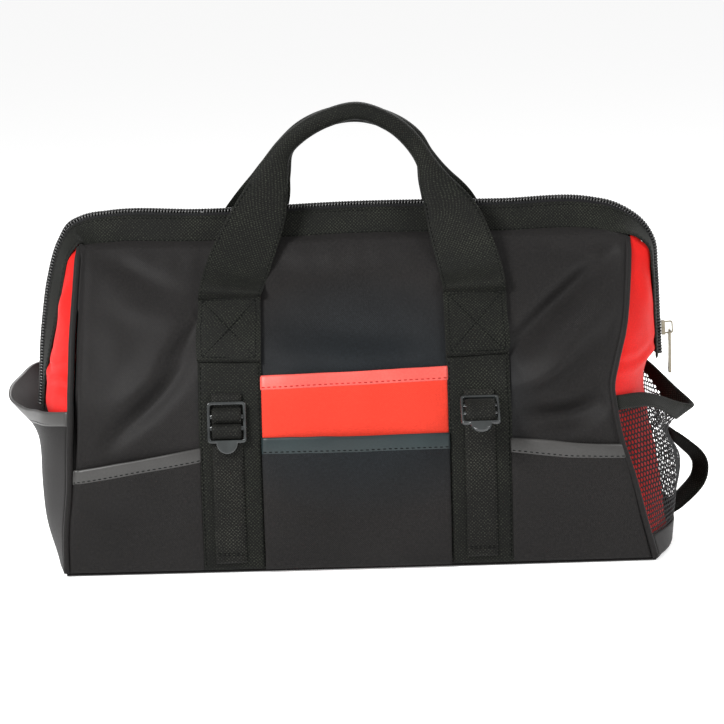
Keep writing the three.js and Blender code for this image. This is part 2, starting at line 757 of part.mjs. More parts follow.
const panel_cache = new Map();
function panelGridPoint(zone, k, row, off, facing) {
  const key = [zone, k, row, off, facing].join();
  if (!panel_cache.has(key)) {
    const x = zoneColumns(zone, panel_rows[row])[k];
    panel_cache.set(key, panelPoint(x, panel_rows[row], off, facing));
  }
  return panel_cache.get(key).clone();
}

function onPanel(zone, f, t, off, facing) {
  const steps = zoneColumns(zone, 0).length - 1;
  const k = Math.min(Math.max(Math.floor(f * steps), 0), steps - 1);
  let row = 0;
  while (row < panel_rows.length - 2 && t > panel_rows[row + 1]) row += 1;
  const part = (t - panel_rows[row]) / (panel_rows[row + 1] - panel_rows[row]);
  const rowPoint = (r) => {
    const here = panelGridPoint(zone, k, r, off, facing);
    return here.lerp(panelGridPoint(zone, k + 1, r, off, facing), f * steps - k);
  };
  return rowPoint(row).lerp(rowPoint(row + 1), part);
}

// The share of the panel's height at which a point of a zone stands at height z.
function shareAtHeight(zone, f, z, off, facing) {
  return solve((t) => onPanel(zone, f, t, off, facing).z, z, 0, 1);
}

// The least share of the panel's height between a strip's end and the next grid row that it keeps.
const row_spare = 0.008;

// A strip of webbing flat on a panel, between two heights, over the shares of a zone in f_list.
function stripOnPanel(zone, f_list, low, high, off, thickness, facing) {
  const rows_at = f_list.map((f) => {
    const from = low > panel_foot ? shareAtHeight(zone, f, low, off, facing) : 0;
    return [from, shareAtHeight(zone, f, high, off, facing)];
  });
  const middle = rows_at[Math.floor(f_list.length / 2)];
  const inner = panel_rows.filter((t) => t > middle[0] + row_spare && t < middle[1] - row_spare);
  const count = inner.length + 2;
  const pointAt = (i, j, face) => {
    const t = i === 0 ? rows_at[j][0] : i === count - 1 ? rows_at[j][1] : inner[i - 1];
    return onPanel(zone, f_list[j], t, off + face * thickness, facing);
  };
  return wallFromGrid(count, f_list.length, pointAt, undefined, facing > 0);
}

// Upright webbing, front and back

const web_zones = { left: "left_web", right: "right_web" };
const web_middles = { left: webbing_left_x, right: webbing_right_x };
for (const facing of [-1, 1]) {
  for (const where of ["left", "right"]) {
    const strip = stripOnPanel(web_zones[where], [0, 0.5, 1], 0, webbing_top, gap, webbing_thickness, facing);
    add(`webbing_${facing < 0 ? "front" : "back"}_${where}`, strip, black_webbing);
  }
}

// Handles: flat webbing sewn over the upright bands, rolled into a grip at the top

const grip_radius = 7.6;
const grip_width = 10;
const sewn_off = webbing_thickness + 3 * gap;

// The section's outline at a share k of its way round, between a flat strap and a round grip.
function handleSection(k, roll) {
  const turn = 2 * Math.PI * k;
  const half_wide = lerp(webbing_width / 2, grip_width, roll);
  const half_thick = lerp(webbing_thickness / 2, grip_radius, roll);
  const square = lerp(0.12, 1, Math.min(roll * 1.6, 1));
  const shape = (v) => Math.sign(v) * Math.abs(v) ** square;
  return [half_wide * shape(Math.cos(turn)), half_thick * shape(Math.sin(turn))];
}

function makeHandle(name, table, rise, facing) {
  const sewn_top = layer_step_height + sewn_length;
  const sides = 10;
  const last = table.length - 1;
  const sewn_middle = sewn_off + webbing_thickness / 2;
  const upright = (where, z) => {
    const zone = web_zones[where];
    const t = shareAtHeight(zone, 0.5, z, sewn_middle, facing);
    return { zone, t, at: onPanel(zone, 0.5, t, sewn_middle, facing) };
  };
  const grip_y = facing * (grip_radius + grip_gap / 2);
  const course = [];
  const sewnSteps = (where) => {
    const inside = panel_rows
      .map((t) => onPanel(web_zones[where], 0.5, t, 0, facing).z)
      .filter((z) => z > layer_step_height + sewn_row_margin && z < sewn_top - sewn_row_margin);
    return [layer_step_height, ...inside, sewn_top].map((z) => upright(where, z));
  };
  const start = upright("left", sewn_top).at;
  const finish = upright("right", sewn_top).at;
  course.push(...sewnSteps("left"));
  const places = [1, 2, 3, ...spread(4, last - 4, 2 * (last - 8)), last - 3, last - 2, last - 1];
  const order = table.map((row, i) => i);
  for (const i of places) {
    const value = (name) => through(order, column(table, name), i);
    const sewn = i < last / 2 ? start : finish;
    const shift = i < last / 2 ? start.x - table[0].x * half_length : finish.x - table[last].x * half_length;
    const x = value("x") * half_length + shift * (1 - value("up"));
    const z = lerp(sewn_top, rise - grip_radius, value("up"));
    const wall_y = z < edgeHeight(x) ? panelPointAtHeight(x, z, sewn_middle, facing).y : 0;
    const y = facing * Math.max(Math.abs(lerp(sewn.y, grip_y, value("inward"))), Math.abs(wall_y));
    course.push({ roll: value("roll"), at: vec(x, y, z) });
  }
  course.push(...sewnSteps("right").reverse().map((step) => ({ ...step, turned: true })));
  const rings = course.map((step, i) => {
    if (step.zone) {
      const way = step.turned ? -1 : 1;
      return Array.from({ length: sides }, (_, k) => {
        const [a, b] = handleSection(-(k + 0.5) / sides, 0);
        const f = 0.5 - (facing * way * a) / webbing_width;
        return onPanel(step.zone, f, step.t, sewn_middle + b, facing);
      });
    }
    const p = step.at;
    const before = course[Math.max(i - 1, 0)].at;
    const after = course[Math.min(i + 1, course.length - 1)].at;
    const tangent = after.clone().sub(before).normalize();
    const wide = tangent.clone().cross(vec(0, facing, 0)).normalize();
    const thick = wide.clone().cross(tangent).normalize();
    return Array.from({ length: sides }, (_, k) => {
      const [a, b] = handleSection(-(k + 0.5) / sides, step.roll);
      return p.clone().addScaledVector(wide, a).addScaledVector(thick, b);
    });
  });
  add(name, tubeFromRings(rings), black_webbing);
}
makeHandle("front_handle", FRONT_HANDLE_ROWS, handle_rise, -1);
makeHandle("back_handle", BACK_HANDLE_ROWS, back_handle_rise, 1);

// Slip pockets on the front, each a loose wall with a binding along its rim

const binding_steps = [0, 1];

// A flat pocket: rimHeight gives the rim's height at share f of the zone, and off is the clearance
// of its sewn edges from the panel.
function makeSlipPocket(name, zone, rimHeight, gape, off, binding, cloth, trim) {
  const width = Math.abs(zoneColumns(zone, 0.3).at(-1) - zoneColumns(zone, 0.3)[0]);
  const steps = zoneColumns(zone, 0).length - 1;
  const f_list = spread(0, 1, steps).map((f) => THREE.MathUtils.clamp(f, gap / width, 1 - gap / width));
  const standOff = (f, h) => off + pocket_slack * Math.sin(Math.PI * h) * (f > 0.02 && f < 0.98 ? 1 : 0)
    + gape * h ** 3 * Math.sin(Math.PI * THREE.MathUtils.clamp(f, 0, 1)) ** 0.8;
  const at = (f, z, h, out) => {
    const t = z <= panel_foot ? 0 : shareAtHeight(zone, f, z, 0, -1);
    return onPanel(zone, f, t, standOff(f, h) + out, -1);
  };
  const topOf = (f) => rimHeight(f) - binding - gap;
  const lowest = Math.min(...f_list.map((f) => shareAtHeight(zone, f, topOf(f), 0, -1)));
  const inner_rows = panel_rows.filter((t) => t < lowest - 0.008);
  const wallPoint = (i, j, face) => {
    const f = f_list[j];
    const t = i < inner_rows.length ? inner_rows[i] : shareAtHeight(zone, f, topOf(f), 0, -1);
    const z = onPanel(zone, f, t, 0, -1).z;
    return at(f, z, (z - panel_foot) / (rimHeight(f) - panel_foot), face * pocket_wall);
  };
  add(name, wallFromGrid(inner_rows.length + 1, f_list.length, wallPoint), cloth);
  const trimPoint = (i, j, face) => {
    const f = f_list[j];
    const z = rimHeight(f) - binding * (1 - binding_steps[i]);
    const h = (z - panel_foot) / (rimHeight(f) - panel_foot);
    return at(f, z, h, face * (pocket_wall + binding_thickness));
  };
  add(`${name}_binding`, wallFromGrid(binding_steps.length, f_list.length, trimPoint), trim);
}

const sag = (low, high, drop) => (f) => lerp(low, high, f) - drop * Math.sin(Math.PI * f);
makeSlipPocket("left_slip_pocket", "left", sag(left_pocket_seam_rim, left_pocket_web_rim, 0), pocket_gape, gap,
  binding_height, black_cloth, grey_binding);
makeSlipPocket("right_slip_pocket", "right", sag(right_pocket_web_rim, right_pocket_seam_rim, 1), pocket_gape, gap,
  binding_height, black_cloth, grey_binding);
makeSlipPocket("red_pocket", "centre", sag(red_pocket_left_rim, red_pocket_right_rim, 0), red_pocket_gape, gap,
  red_binding_height, red_cloth, red_binding);
makeSlipPocket("centre_pocket", "centre", sag(centre_pocket_rim, centre_pocket_rim, 0), pocket_gape,
  2 * gap + pocket_wall, binding_height, black_cloth, grey_binding);

// Pockets on the ends

// The end panel's outer face at share t of its height and a signed share across of its depth.
function endSurface(side, t, across) {
  const facing = across < 0 ? -1 : 1;
  const low = Math.min(t, endShare(side) - 0.001);
  const seam = seamPoint(side, low, facing);
  const inner_y = Math.abs(endFace(side, low, 1, facing).y);
  const y = Math.abs(across * seam.y);
  const along = y > inner_y ? (Math.abs(seam.y) - y) / (Math.abs(seam.y) - inner_y) : 2 - y / inner_y;
  const here = seamPoint(side, t, facing);
  const x = endFace(side, low, Math.min(along, 2), facing).x + here.x - seam.x;
  return vec(x, across * Math.abs(here.y), here.z);
}

const end_pocket_inset = 6;

function makeEndPocketSurface(side, rim_table, slack_table) {
  const rimHeight = (a) => body_height * through(column(rim_table, "across"), column(rim_table, "z"), a);
  const rimOut = (a) => half_length * through(column(rim_table, "across"), column(rim_table, "out"), a);
  const surface = (a, h, off) => {
    const shrink = 1 - end_pocket_inset / half_depth;
    const z = lerp(panel_foot, rimHeight(a), h);
    const t = (z - panel_foot) / (seam_top[side].at.z - panel_foot);
    const base = endSurface(side, t, a * shrink);
    const slack = half_length * through(column(slack_table, "h"), column(slack_table, "slack"), h);
    const flare = through(column(slack_table, "h"), column(slack_table, "flare"), h);
    const stand = end_pocket_clearance + slack * (1 - Math.abs(a) ** 3) + rimOut(a) * flare;
    return vec(base.x + side * (stand + off), base.y, z);
  };
  return { surface, rimHeight };
}

function makeEndPocket(name, side, tables, parts) {
  const { surface, rimHeight } = makeEndPocketSurface(side, ...tables);
  for (const part of parts) {
    const pointAt = (i, j, face) => {
      const a = part.across[j];
      return surface(a, part.h(rimHeight(a), part.rows[i]), face * part.wall);
    };
    add(part.name, wallFromGrid(part.rows.length, part.across.length, pointAt, part.keep, side < 0), part.look);
  }
}

const across_list = spread(-1, 1, 14);
const trimShare = (rim, k) => 1 - ((1 - k) * binding_height) / (rim - panel_foot);
const belowTrim = (rim, k) => k * (1 - (binding_height + gap) / (rim - panel_foot));
makeEndPocket("left", -1, [LEFT_RIM_ROWS, LEFT_SLACK_ROWS], [
  { name: "left_end_pocket", across: across_list, rows: spread(0, 1, 7), h: belowTrim,
    wall: end_pocket_wall, look: black_cloth },
  { name: "left_end_pocket_binding", across: across_list, rows: [0, 0.5, 1], h: trimShare,
    wall: end_pocket_wall + binding_thickness, look: grey_binding },
]);

// Grid lines of the net: bars and holes take turns.
function netLines(from, to, holes) {
  const pitch = (to - from) / (holes + net_bar_share);
  const lines = [from];
  for (let k = 0; k < holes; k += 1) {
    lines.push(from + pitch * (k + net_bar_share), from + pitch * (k + 1));
  }
  lines.push(to);
  return lines;
}
const net_across = netLines(-1, 1, mesh_holes_across);
const net_up = netLines(0, 1, mesh_holes_up);
const footShare = (rim, k) => (k * foot_height) / (rim - panel_foot);
const netShare = (rim, k) => lerp((foot_height + gap) / (rim - panel_foot), belowTrim(rim, 1), k);
makeEndPocket("right", 1, [MESH_RIM_ROWS, MESH_SLACK_ROWS], [
  { name: "mesh_pocket_foot", across: net_across, rows: [0, 0.5, 1], h: footShare,
    wall: end_pocket_wall, look: black_cloth },
  { name: "mesh_pocket", across: net_across, rows: net_up, h: netShare, wall: mesh_wall, look: black_mesh,
    keep: (i, j) => i % 2 === 0 || j % 2 === 0 },
  { name: "mesh_pocket_binding", across: net_across, rows: [0, 0.5, 1], h: trimShare,
    wall: end_pocket_wall + binding_thickness, look: black_webbing },
]);

// Webbing loop on the right end, sewn down at both ends

function makeLoop() {
  const { surface, rimHeight } = makeEndPocketSurface(1, MESH_RIM_ROWS, MESH_SLACK_ROWS);
  const share = (y) => y / (half_depth * 0.97);
  const faceX = (z) => {
    const samples = spread(loop_y - loop_width / 2, loop_y + loop_width / 2, 4).map((y) => {
      const a = share(y);
      const wall = z < foot_height ? end_pocket_wall : mesh_wall;
      return surface(a, (z - panel_foot) / (rimHeight(a) - panel_foot), wall).x;
    });
    return Math.max(...samples) + gap;
  };
  const foot_x = faceX(loop_bottom);
  const tip_x = faceX(loop_top);
  const height = loop_top - loop_bottom;
  const middle = [
    [faceX(loop_top + loop_tab), loop_top + loop_tab],
    [faceX(loop_top + loop_tab / 2), loop_top + loop_tab / 2],
    [tip_x + 1, loop_top],
    [tip_x + loop_reach * 0.45, loop_top - height * 0.14],
    [tip_x + loop_reach * 0.86, loop_top - height * 0.3],
    [tip_x + loop_reach, loop_top - height * 0.46],
    [tip_x + loop_reach * 0.85, loop_top - height * 0.68],
    [foot_x + loop_reach * 0.35, loop_bottom + height * 0.06],
    [faceX(loop_bottom - loop_tab / 2), loop_bottom - loop_tab / 2],
    [faceX(loop_bottom - loop_tab), loop_bottom - loop_tab],
  ].map(([x, z]) => new THREE.Vector2(x + webbing_thickness / 2, z));
  const curve = new THREE.SplineCurve(middle);
  const points = curve.getPoints(20);
  const side_points = (sign) =>
    points.map((p, i) => {
      const before = points[Math.max(i - 1, 0)];
      const after = points[Math.min(i + 1, points.length - 1)];
      const along = after.clone().sub(before).normalize();
      return vec(p.x + (along.y * sign * webbing_thickness) / 2, 0, p.y - (along.x * sign * webbing_thickness) / 2);
    });
  const outer = side_points(-1);
  const inner = side_points(1);
  const pointAt = (i, j, face) =>
    (face ? outer[i] : inner[i]).clone().setY(loop_y + (j - 0.5) * loop_width);
  add("end_loop", wallFromGrid(points.length, 2, pointAt, undefined, true), black_webbing);
}
makeLoop();

// Cinch straps and ladder locks on the front

// A rounded rectangle about a centre.
function roundedRectangle(path, x, y, width, height, radius) {
  const w = width / 2 - radius;
  const h = height / 2 - radius;
  path.absarc(x + w, y + h, radius, 0, Math.PI / 2);
  path.absarc(x - w, y + h, radius, Math.PI / 2, Math.PI);
  path.absarc(x - w, y - h, radius, Math.PI, Math.PI * 1.5);
  path.absarc(x + w, y - h, radius, Math.PI * 1.5, Math.PI * 2);
  path.closePath();
  return path;
}

function lockGeometry() {
  const w = lock_width / 2;
  const r = 2;
  const outline = new THREE.Shape();
  outline.absarc(w - r, -r, r, 0, Math.PI / 2);
  outline.absarc(-w + r, -r, r, Math.PI / 2, Math.PI);
  outline.absarc(-w + r, -lock_height + r, r, Math.PI, Math.PI * 1.5);
  outline.absellipse(0, -lock_height, w * 0.62, lock_tab, Math.PI, Math.PI * 2);
  outline.absarc(w - r, -lock_height + r, r, Math.PI * 1.5, Math.PI * 2);
  outline.closePath();
  const slots = 3;
  const slot_height = (lock_height - lock_rim * (slots + 1)) / slots;
  for (let k = 0; k < slots; k += 1) {
    const y = -lock_rim - slot_height / 2 - k * (slot_height + lock_rim);
    const hole = new THREE.Path();
    outline.holes.push(roundedRectangle(hole, 0, y, lock_width - 2 * lock_rim, slot_height, 1));
  }
  return new THREE.ExtrudeGeometry(outline, { depth: lock_thickness, bevelEnabled: false, curveSegments: 2 });
}

function makeCinch(where, lock_top, tilt, strap_shift) {
  const zone = web_zones[where];
  const middle = 0.5 + strap_shift / webbing_width;
  const half = strap_width / webbing_width / 2;
  const f_list = [middle - half, 0.5, middle + half];
  const off = webbing_thickness + 2 * gap;
  const anchor_low = lock_top - lock_rim * 2;
  const anchor_high = layer_step_height - 3 * gap;
  const anchor = stripOnPanel(zone, f_list, anchor_low, anchor_high, off, strap_thickness, -1);
  add(`anchor_strap_${where}`, anchor, black_webbing);
  const tail = stripOnPanel(zone, f_list, tail_end, lock_top - lock_height * 0.6, off, strap_thickness, -1);
  add(`cinch_strap_${where}`, tail, black_webbing);
  const strap_face = off + strap_thickness;
  const faceAt = (z, lift) => {
    const share = shareAtHeight(zone, middle, z, strap_face + lift, -1);
    return onPanel(zone, middle, share, strap_face + lift, -1);
  };
  const foot = faceAt(lock_top - lock_height, 0);
  const head = faceAt(lock_top, 0);
  const bow = panel_rows
    .map((t) => onPanel(zone, middle, t, strap_face, -1))
    .filter((p) => p.z > foot.z && p.z < head.z)
    .map((p) => lerp(foot.y, head.y, (p.z - foot.z) / (head.z - foot.z)) - p.y);
  const lift = Math.max(gap, ...bow) + gap;
  const top = faceAt(lock_top, lift);
  const below = faceAt(lock_top - lock_height, lift);
  const slope = Math.atan2(below.y - top.y, top.z - below.z);
  const lock = add(`ladder_lock_${where}`, lockGeometry(), black_plastic);
  lock.position.copy(top);
  lock.rotation.set(Math.PI / 2 + slope - radians(tilt), 0, 0);
}
makeCinch("left", left_lock_top, left_lock_tilt, left_strap_shift);
makeCinch("right", right_lock_top, right_lock_tilt, right_strap_shift);

// Zip slider on the right end, with a bail that the pull hangs from

function makeSlider() {
  const p = solve((q) => mouthFrame(q).at.z, slider_height, mouth_length * 0.75, mouth_length);
  const { at, inward } = mouthFrame(p);
  const face_x = coil_height / 2 + gap;
  const tilt = Math.atan2(inward.z, -inward.x);
  const plate = new THREE.BoxGeometry(slider_thickness, slider_width, slider_length);
  let solid = toSolid(plate, new THREE.Matrix4().makeTranslation(face_x + slider_thickness / 2, 0, 0));
  const bail_x = face_x + slider_thickness;
  const arch = new THREE.Shape();
  roundedRectangle(arch, crown_reach / 2 - 0.5, 0, crown_reach + 1, slider_length - 1, 1.8);
  const window = new THREE.Path();
  const window_height = slider_length - 1 - 2 * crown_wire;
  arch.holes.push(roundedRectangle(window, (crown_reach - crown_wire) / 2, 0, crown_reach - crown_wire, window_height, 1));
  const bail = new THREE.ExtrudeGeometry(arch, { depth: crown_width, bevelEnabled: false, curveSegments: 2 });
  const stand = new THREE.Matrix4().makeRotationX(Math.PI / 2);
  stand.setPosition(bail_x, crown_width / 2, 0);
  solid = solid.add(toSolid(bail, stand));
  const slider = new THREE.Group();
  slider.position.copy(at);
  slider.rotation.set(0, tilt, 0);
  bag.add(slider);
  add("zip_slider", fromSolid(solid), bright_metal, slider);

  // The pull hangs by a bar inside the bail, so its two arms pass on both sides of it.
  const pin_swing = Math.hypot(pull_pin_radius, pull_thickness / 2);
  const pivot = vec(bail_x + pull_pivot_reach, 0, -window_height / 2 + pin_swing + gap / 2);
  pivot.applyAxisAngle(vec(0, 1, 0), tilt).add(at);
  const outline = new THREE.Shape();
  roundedRectangle(outline, 0, pull_pin_radius - pull_length / 2, pull_width, pull_length, 2);
  const eye_height = pull_eye - pull_pin_radius;
  const eye = new THREE.Path();
  const eye_width = crown_width + 2 * pull_play;
  outline.holes.push(roundedRectangle(eye, 0, -pull_pin_radius - eye_height / 2, eye_width, eye_height, 0.5));
  const slot = new THREE.Path();
  const slot_y = pull_pin_radius - pull_length + pull_slot_rise;
  outline.holes.push(roundedRectangle(slot, 0, slot_y, pull_width * 0.4, pull_slot_length, 1.2));
  const body = new THREE.ExtrudeGeometry(outline, { depth: pull_thickness, bevelEnabled: false, curveSegments: 2 });
  const pull = add("zip_pull", body, bright_metal);
  pull.geometry.applyMatrix4(new THREE.Matrix4().makeTranslation(0, 0, -pull_thickness / 2));
  pull.geometry.applyMatrix4(new THREE.Matrix4().makeRotationX(Math.PI / 2));
  pull.geometry.applyMatrix4(new THREE.Matrix4().makeRotationZ(Math.PI / 2));
  pull.position.copy(pivot);
}
makeSlider();

export default bag;
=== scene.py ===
import math

import bpy
import numpy as np
from mathutils import Matrix, Vector, noise


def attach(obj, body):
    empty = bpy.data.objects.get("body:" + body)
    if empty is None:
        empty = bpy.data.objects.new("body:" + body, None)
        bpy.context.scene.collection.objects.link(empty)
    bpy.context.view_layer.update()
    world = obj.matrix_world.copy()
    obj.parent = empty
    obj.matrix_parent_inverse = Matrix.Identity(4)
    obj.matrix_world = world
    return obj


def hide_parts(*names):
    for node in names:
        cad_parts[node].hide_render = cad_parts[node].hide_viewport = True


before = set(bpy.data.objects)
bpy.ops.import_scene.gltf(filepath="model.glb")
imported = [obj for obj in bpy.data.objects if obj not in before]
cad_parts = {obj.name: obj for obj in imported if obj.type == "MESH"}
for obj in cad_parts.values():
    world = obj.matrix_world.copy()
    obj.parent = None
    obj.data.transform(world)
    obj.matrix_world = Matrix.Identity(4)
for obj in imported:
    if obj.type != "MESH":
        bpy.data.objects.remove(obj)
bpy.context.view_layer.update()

# Sizes are in millimetres, as on the bag. MM turns them into metres.
MM = 0.001
HALF_LENGTH = 254
HALF_DEPTH = 120
BODY_HEIGHT = 292
BASE = 3
GAP = 0.35
FOOT = BASE + GAP

BAND_WIDTH = 26
BAND_THICKNESS = 1.8
BAND_INSET = 3.2
COIL_WIDTH = 5.6
COIL_HEIGHT = 5
TAPE_TUCK = 11
TOOTH_PITCH = 2.6

PIPING_RADIUS = 2.7
WEBBING_WIDTH = 52.5
WEBBING_THICKNESS = 1.7
WEBBING_X = {"left": -111, "right": 94}
WEBBING_TOP = 219

SEWN_BOTTOM = 174
SEWN_TOP = 221
GRIP_GAP = 3
GRIP_RADIUS = 7.6
GRIP_WIDTH = 7.7
KNEE_REACH = 6.5
KNEE_SPREAD = 6.2
HANDLE_RISE = {-1: 379, 1: 375.5}

POCKET_WALL = 1.4
BINDING_HEIGHT = 12
BINDING_THICKNESS = 1.3
END_WALL = 1.6
NET_CELL = 4.5
NET_THREAD = 1.7
FOOT_HEIGHT = 20

TAIL_HEM = 7
# Painted cool light on the front wall's cloth: its centre (x, z) and its reach (x, z), in millimetres.
PAINTED_LIGHT_CENTRE = (0, 142)
PAINTED_LIGHT_REACH = (145, 96)
RED_TUCK = 14
BAR_WRAP = {
    "left": [(-5.5, -2.4), (-7, 2.2), (-10.5, 5.2), (-14.5, 4.6), (-17.2, 0.2), (-19, 0.6), (-21.5, 4.8),
             (-25.5, 5.0), (-28.5, 2.4), (-30.5, -2.4)],
    "right": [(-4.5, -2.4), (-6.5, 2.6), (-11, 5.6), (-17, 6.6), (-24, 6.0), (-28.5, 3.4), (-31, -2.2)],
}
STRAP_WIDTH = 25
STRAP_THICKNESS = 1.4
LOCK_WIDTH = 32
LOCK_HEIGHT = 34
LOCK_TAB = 9

LOOP_WIDTH = 20
LOOP_REACH = 24
LOOP_TOP = 78
LOOP_BOTTOM = 18
LOOP_TAB = 8
LOOP_Y = 18
LOOP_TWIST = math.radians(38)

STITCH_LENGTH = 2.7
STITCH_PITCH = 3.9
STITCH_WIDTH = 0.75

# The photograph's camera: height above the horizon, roll, distance, lens and the point it looks at.
CAMERA_ELEVATION = 10
CAMERA_ROLL = 1.6
CAMERA_DISTANCE = 2400
CAMERA_LENS = 138.3
CAMERA_TARGET = (-1.5, 0, 154)

# Tables, as in the part: shares of the sizes above.
SEAM = {
    "t": [0, 0.12, 0.27, 0.4, 0.49, 0.56, 0.63, 0.73, 0.86, 1],
    -1: [0.99, 0.986, 0.969, 0.963, 0.958, 0.957, 0.955, 0.953, 0.947, 0.94],
    1: [0.937, 0.904, 0.866, 0.826, 0.811, 0.805, 0.823, 0.854, 0.878, 0.895],
    "depth": [0.97, 0.985, 0.98, 0.96, 0.925, 0.88, 0.805, 0.67, 0.43, 0.16],
    "belly": [0.985, 1.005, 1.01, 0.995, 0.965, 0.925, 0.855, 0.725, 0.46, 0.16],
}
END = {
    "t": [0, 0.12, 0.27, 0.4, 0.49, 0.6, 1],
    -1: [1.0, 1.03, 1.045, 1.05, 1.055, 1.055, 1.0],
    1: [1.02, 1.006, 0.982, 0.957, 0.95, 0.953, 0.96],
}
MOUTH = {
    "x": [-1.102, -1.092, -1.086, -1.072, -1.052, -1.007, -0.975, -0.93, -0.839, -0.537, 0, 0.472, 0.776,
          0.85, 0.9, 0.95, 0.984, 0.993, 0.997, 1.0, 1.004],
    "z": [0.428, 0.531, 0.606, 0.703, 0.801, 0.918, 0.96, 0.979, 0.991, 0.987, 0.998, 0.994, 0.992,
          0.977, 0.955, 0.92, 0.87, 0.79, 0.71, 0.62, 0.531],
    "lean": [8, 10, 18, 26, 28, 28, 36, 50, 62, 62, 62, 62, 62, 52, 38, 24, 12, 9, 8, 8, 8],
    "inset": [0.85, 0.85, 0.85, 0.85, 0.85, 0.85, 0.9, 0.95, 1, 1, 1, 1, 1, 0.95, 0.9, 0.85, 0.85, 0.85,
              0.85, 0.85, 0.85],
}
RIM = {
    -1: {
        "across": [-1, -0.76, -0.58, -0.27, -0.07, 0.13, 0.4, 0.72, 1],
        "out": [0, 0.038, 0.05, 0.098, 0.145, 0.155, 0.14, 0.11, 0],
        "z": [0.473, 0.459, 0.453, 0.443, 0.457, 0.477, 0.495, 0.515, 0.51],
    },
    1: {
        "across": [-1, -0.66, -0.42, -0.11, 0.02, 0.2, 0.45, 1],
        "out": [0, 0.022, 0.055, 0.125, 0.162, 0.115, 0.055, 0],
        "z": [0.476, 0.459, 0.432, 0.387, 0.374, 0.418, 0.48, 0.495],
    },
}
SLACK = {
    -1: {
        "h": [0, 0.2, 0.5, 0.82, 0.91, 1],
        "slack": [0, 0.024, 0.04, 0.045, 0.03, 0],
        "flare": [0, 0, 0, 0.06, 0.45, 1],
    },
    1: {
        "h": [0, 0.12, 0.28, 0.58, 0.82, 0.91, 1],
        "slack": [0, 0.016, 0.04, 0.072, 0.052, 0.028, 0],
        "flare": [0, 0, 0, 0, 0.03, 0.45, 1],
    },
}
HANDLE = {
    -1: {
        "x": [-0.432, -0.425, -0.396, -0.327, -0.29, -0.254, -0.19, -0.1, 0.005, 0.11, 0.18, 0.228, 0.262,
              0.313, 0.355, 0.372, 0.375],
        "up": [0, 0.07, 0.2, 0.46, 0.64, 0.78, 0.885, 0.965, 1, 0.93, 0.825, 0.7, 0.57, 0.4, 0.19, 0.07, 0],
        "inward": [0, 0.1, 0.35, 0.68, 0.84, 0.95, 1, 1, 1, 1, 1, 0.92, 0.8, 0.62, 0.33, 0.1, 0],
        "roll": [0, 0, 0, 0.22, 0.62, 0.95, 1, 1, 1, 1, 1, 0.96, 0.62, 0.17, 0.02, 0, 0],
    },
    1: {
        "x": [-0.432, -0.43, -0.405, -0.322, -0.282, -0.245, -0.18, -0.09, 0.01, 0.11, 0.185, 0.226, 0.26,
              0.312, 0.36, 0.372, 0.375],
        "up": [0, 0.07, 0.25, 0.5, 0.67, 0.81, 0.92, 0.985, 1, 0.95, 0.86, 0.74, 0.6, 0.42, 0.19, 0.07, 0],
        "inward": [0, 0.1, 0.4, 0.7, 0.86, 0.95, 1, 1, 1, 1, 1, 0.92, 0.8, 0.62, 0.33, 0.1, 0],
        "roll": [0, 0, 0, 0.2, 0.62, 0.95, 1, 1, 1, 1, 1, 0.96, 0.6, 0.15, 0, 0, 0],
    },
}

# Folds of the front wall: a line of x, z points in millimetres, the fold's half width, and its depth.
# A negative depth stands out.
FRONT_FOLDS = [
    ([(-137, 205), (-148, 190), (-163, 172)], 7, 5),
    ([(-143, 181), (-168, 150), (-198, 124), (-211, 112)], 7, 4.5),
    ([(-150, 196), (-176, 168), (-206, 140)], 10, -3),
    ([(121, 176), (160, 207), (212, 246)], 8, 8),
    ([(130, 158), (165, 178), (206, 203)], 13, -9),
    ([(126, 150), (150, 158), (176, 176)], 6, -3),
    ([(128, 122), (170, 124), (200, 138)], 9, 7),
    ([(-84, 205), (-40, 196), (20, 190), (66, 196)], 12, 3),
    ([(-84, 182), (-30, 178), (30, 176), (66, 180)], 11, -2.5),
    ([(-212, 256), (-186, 240), (-158, 228)], 7, 2.6),
    ([(-206, 226), (-178, 214), (-146, 214)], 9, -2.4),
    ([(150, 262), (180, 250), (214, 254)], 7, 2.4),
    ([(-84, 250), (-40, 240), (30, 246)], 9, 1.8),
    ([(-230, 60), (-200, 48), (-150, 52)], 10, 2),
    ([(130, 60), (170, 40), (210, 36)], 11, 2.2),
    ([(-70, 70), (-20, 52), (40, 60)], 14, 1.6),
]


FOLD_STRENGTH = 1.75
FOLD_SPREAD = 1.25
FLOOR_GLOW = 0.36
SKY_STRENGTH = 0.62


# Curves and frames of the bag's form

def through(knots, values, at):
    """A smooth curve through a table, at each value of at."""
    k = np.asarray(knots, float)
    v = np.asarray(values, float)
    p = np.clip(np.asarray(at, float), k[0], k[-1])
    rise = np.diff(v) / np.diff(k)
    slope = np.empty(len(k))
    slope[0] = rise[0]
    slope[-1] = rise[-1]
    before = np.diff(k)[:-1]
    after = np.diff(k)[1:]
    slope[1:-1] = (rise[:-1] * after + rise[1:] * before) / (before + after)
    i = np.clip(np.searchsorted(k, p, side="right") - 1, 0, len(k) - 2)
    span = k[i + 1] - k[i]
    f = (p - k[i]) / span
    g = 1 - f
    return (
        v[i] * (1 + 2 * f) * g * g
        + slope[i] * span * f * g * g
        + v[i + 1] * f * f * (3 - 2 * f)
        - slope[i + 1] * span * f * f * g
    )


def lerp(a, b, f):
    return a + (b - a) * f


def smoothstep(low, high, value):
    f = np.clip((value - low) / (high - low), 0, 1)
    return f * f * (3 - 2 * f)


def unit(v):
    return v / np.maximum(np.linalg.norm(v, axis=-1, keepdims=True), 1e-12)


def stack(x, y, z):
    return np.stack(np.broadcast_arrays(x, y, z), axis=-1).astype(float)


mouth_x = np.array(MOUTH["x"]) * HALF_LENGTH
mouth_z = np.array(MOUTH["z"]) * BODY_HEIGHT
mouth_knots = np.concatenate([[0], np.cumsum(np.hypot(np.diff(mouth_x), np.diff(mouth_z)))])
mouth_length = mouth_knots[-1]


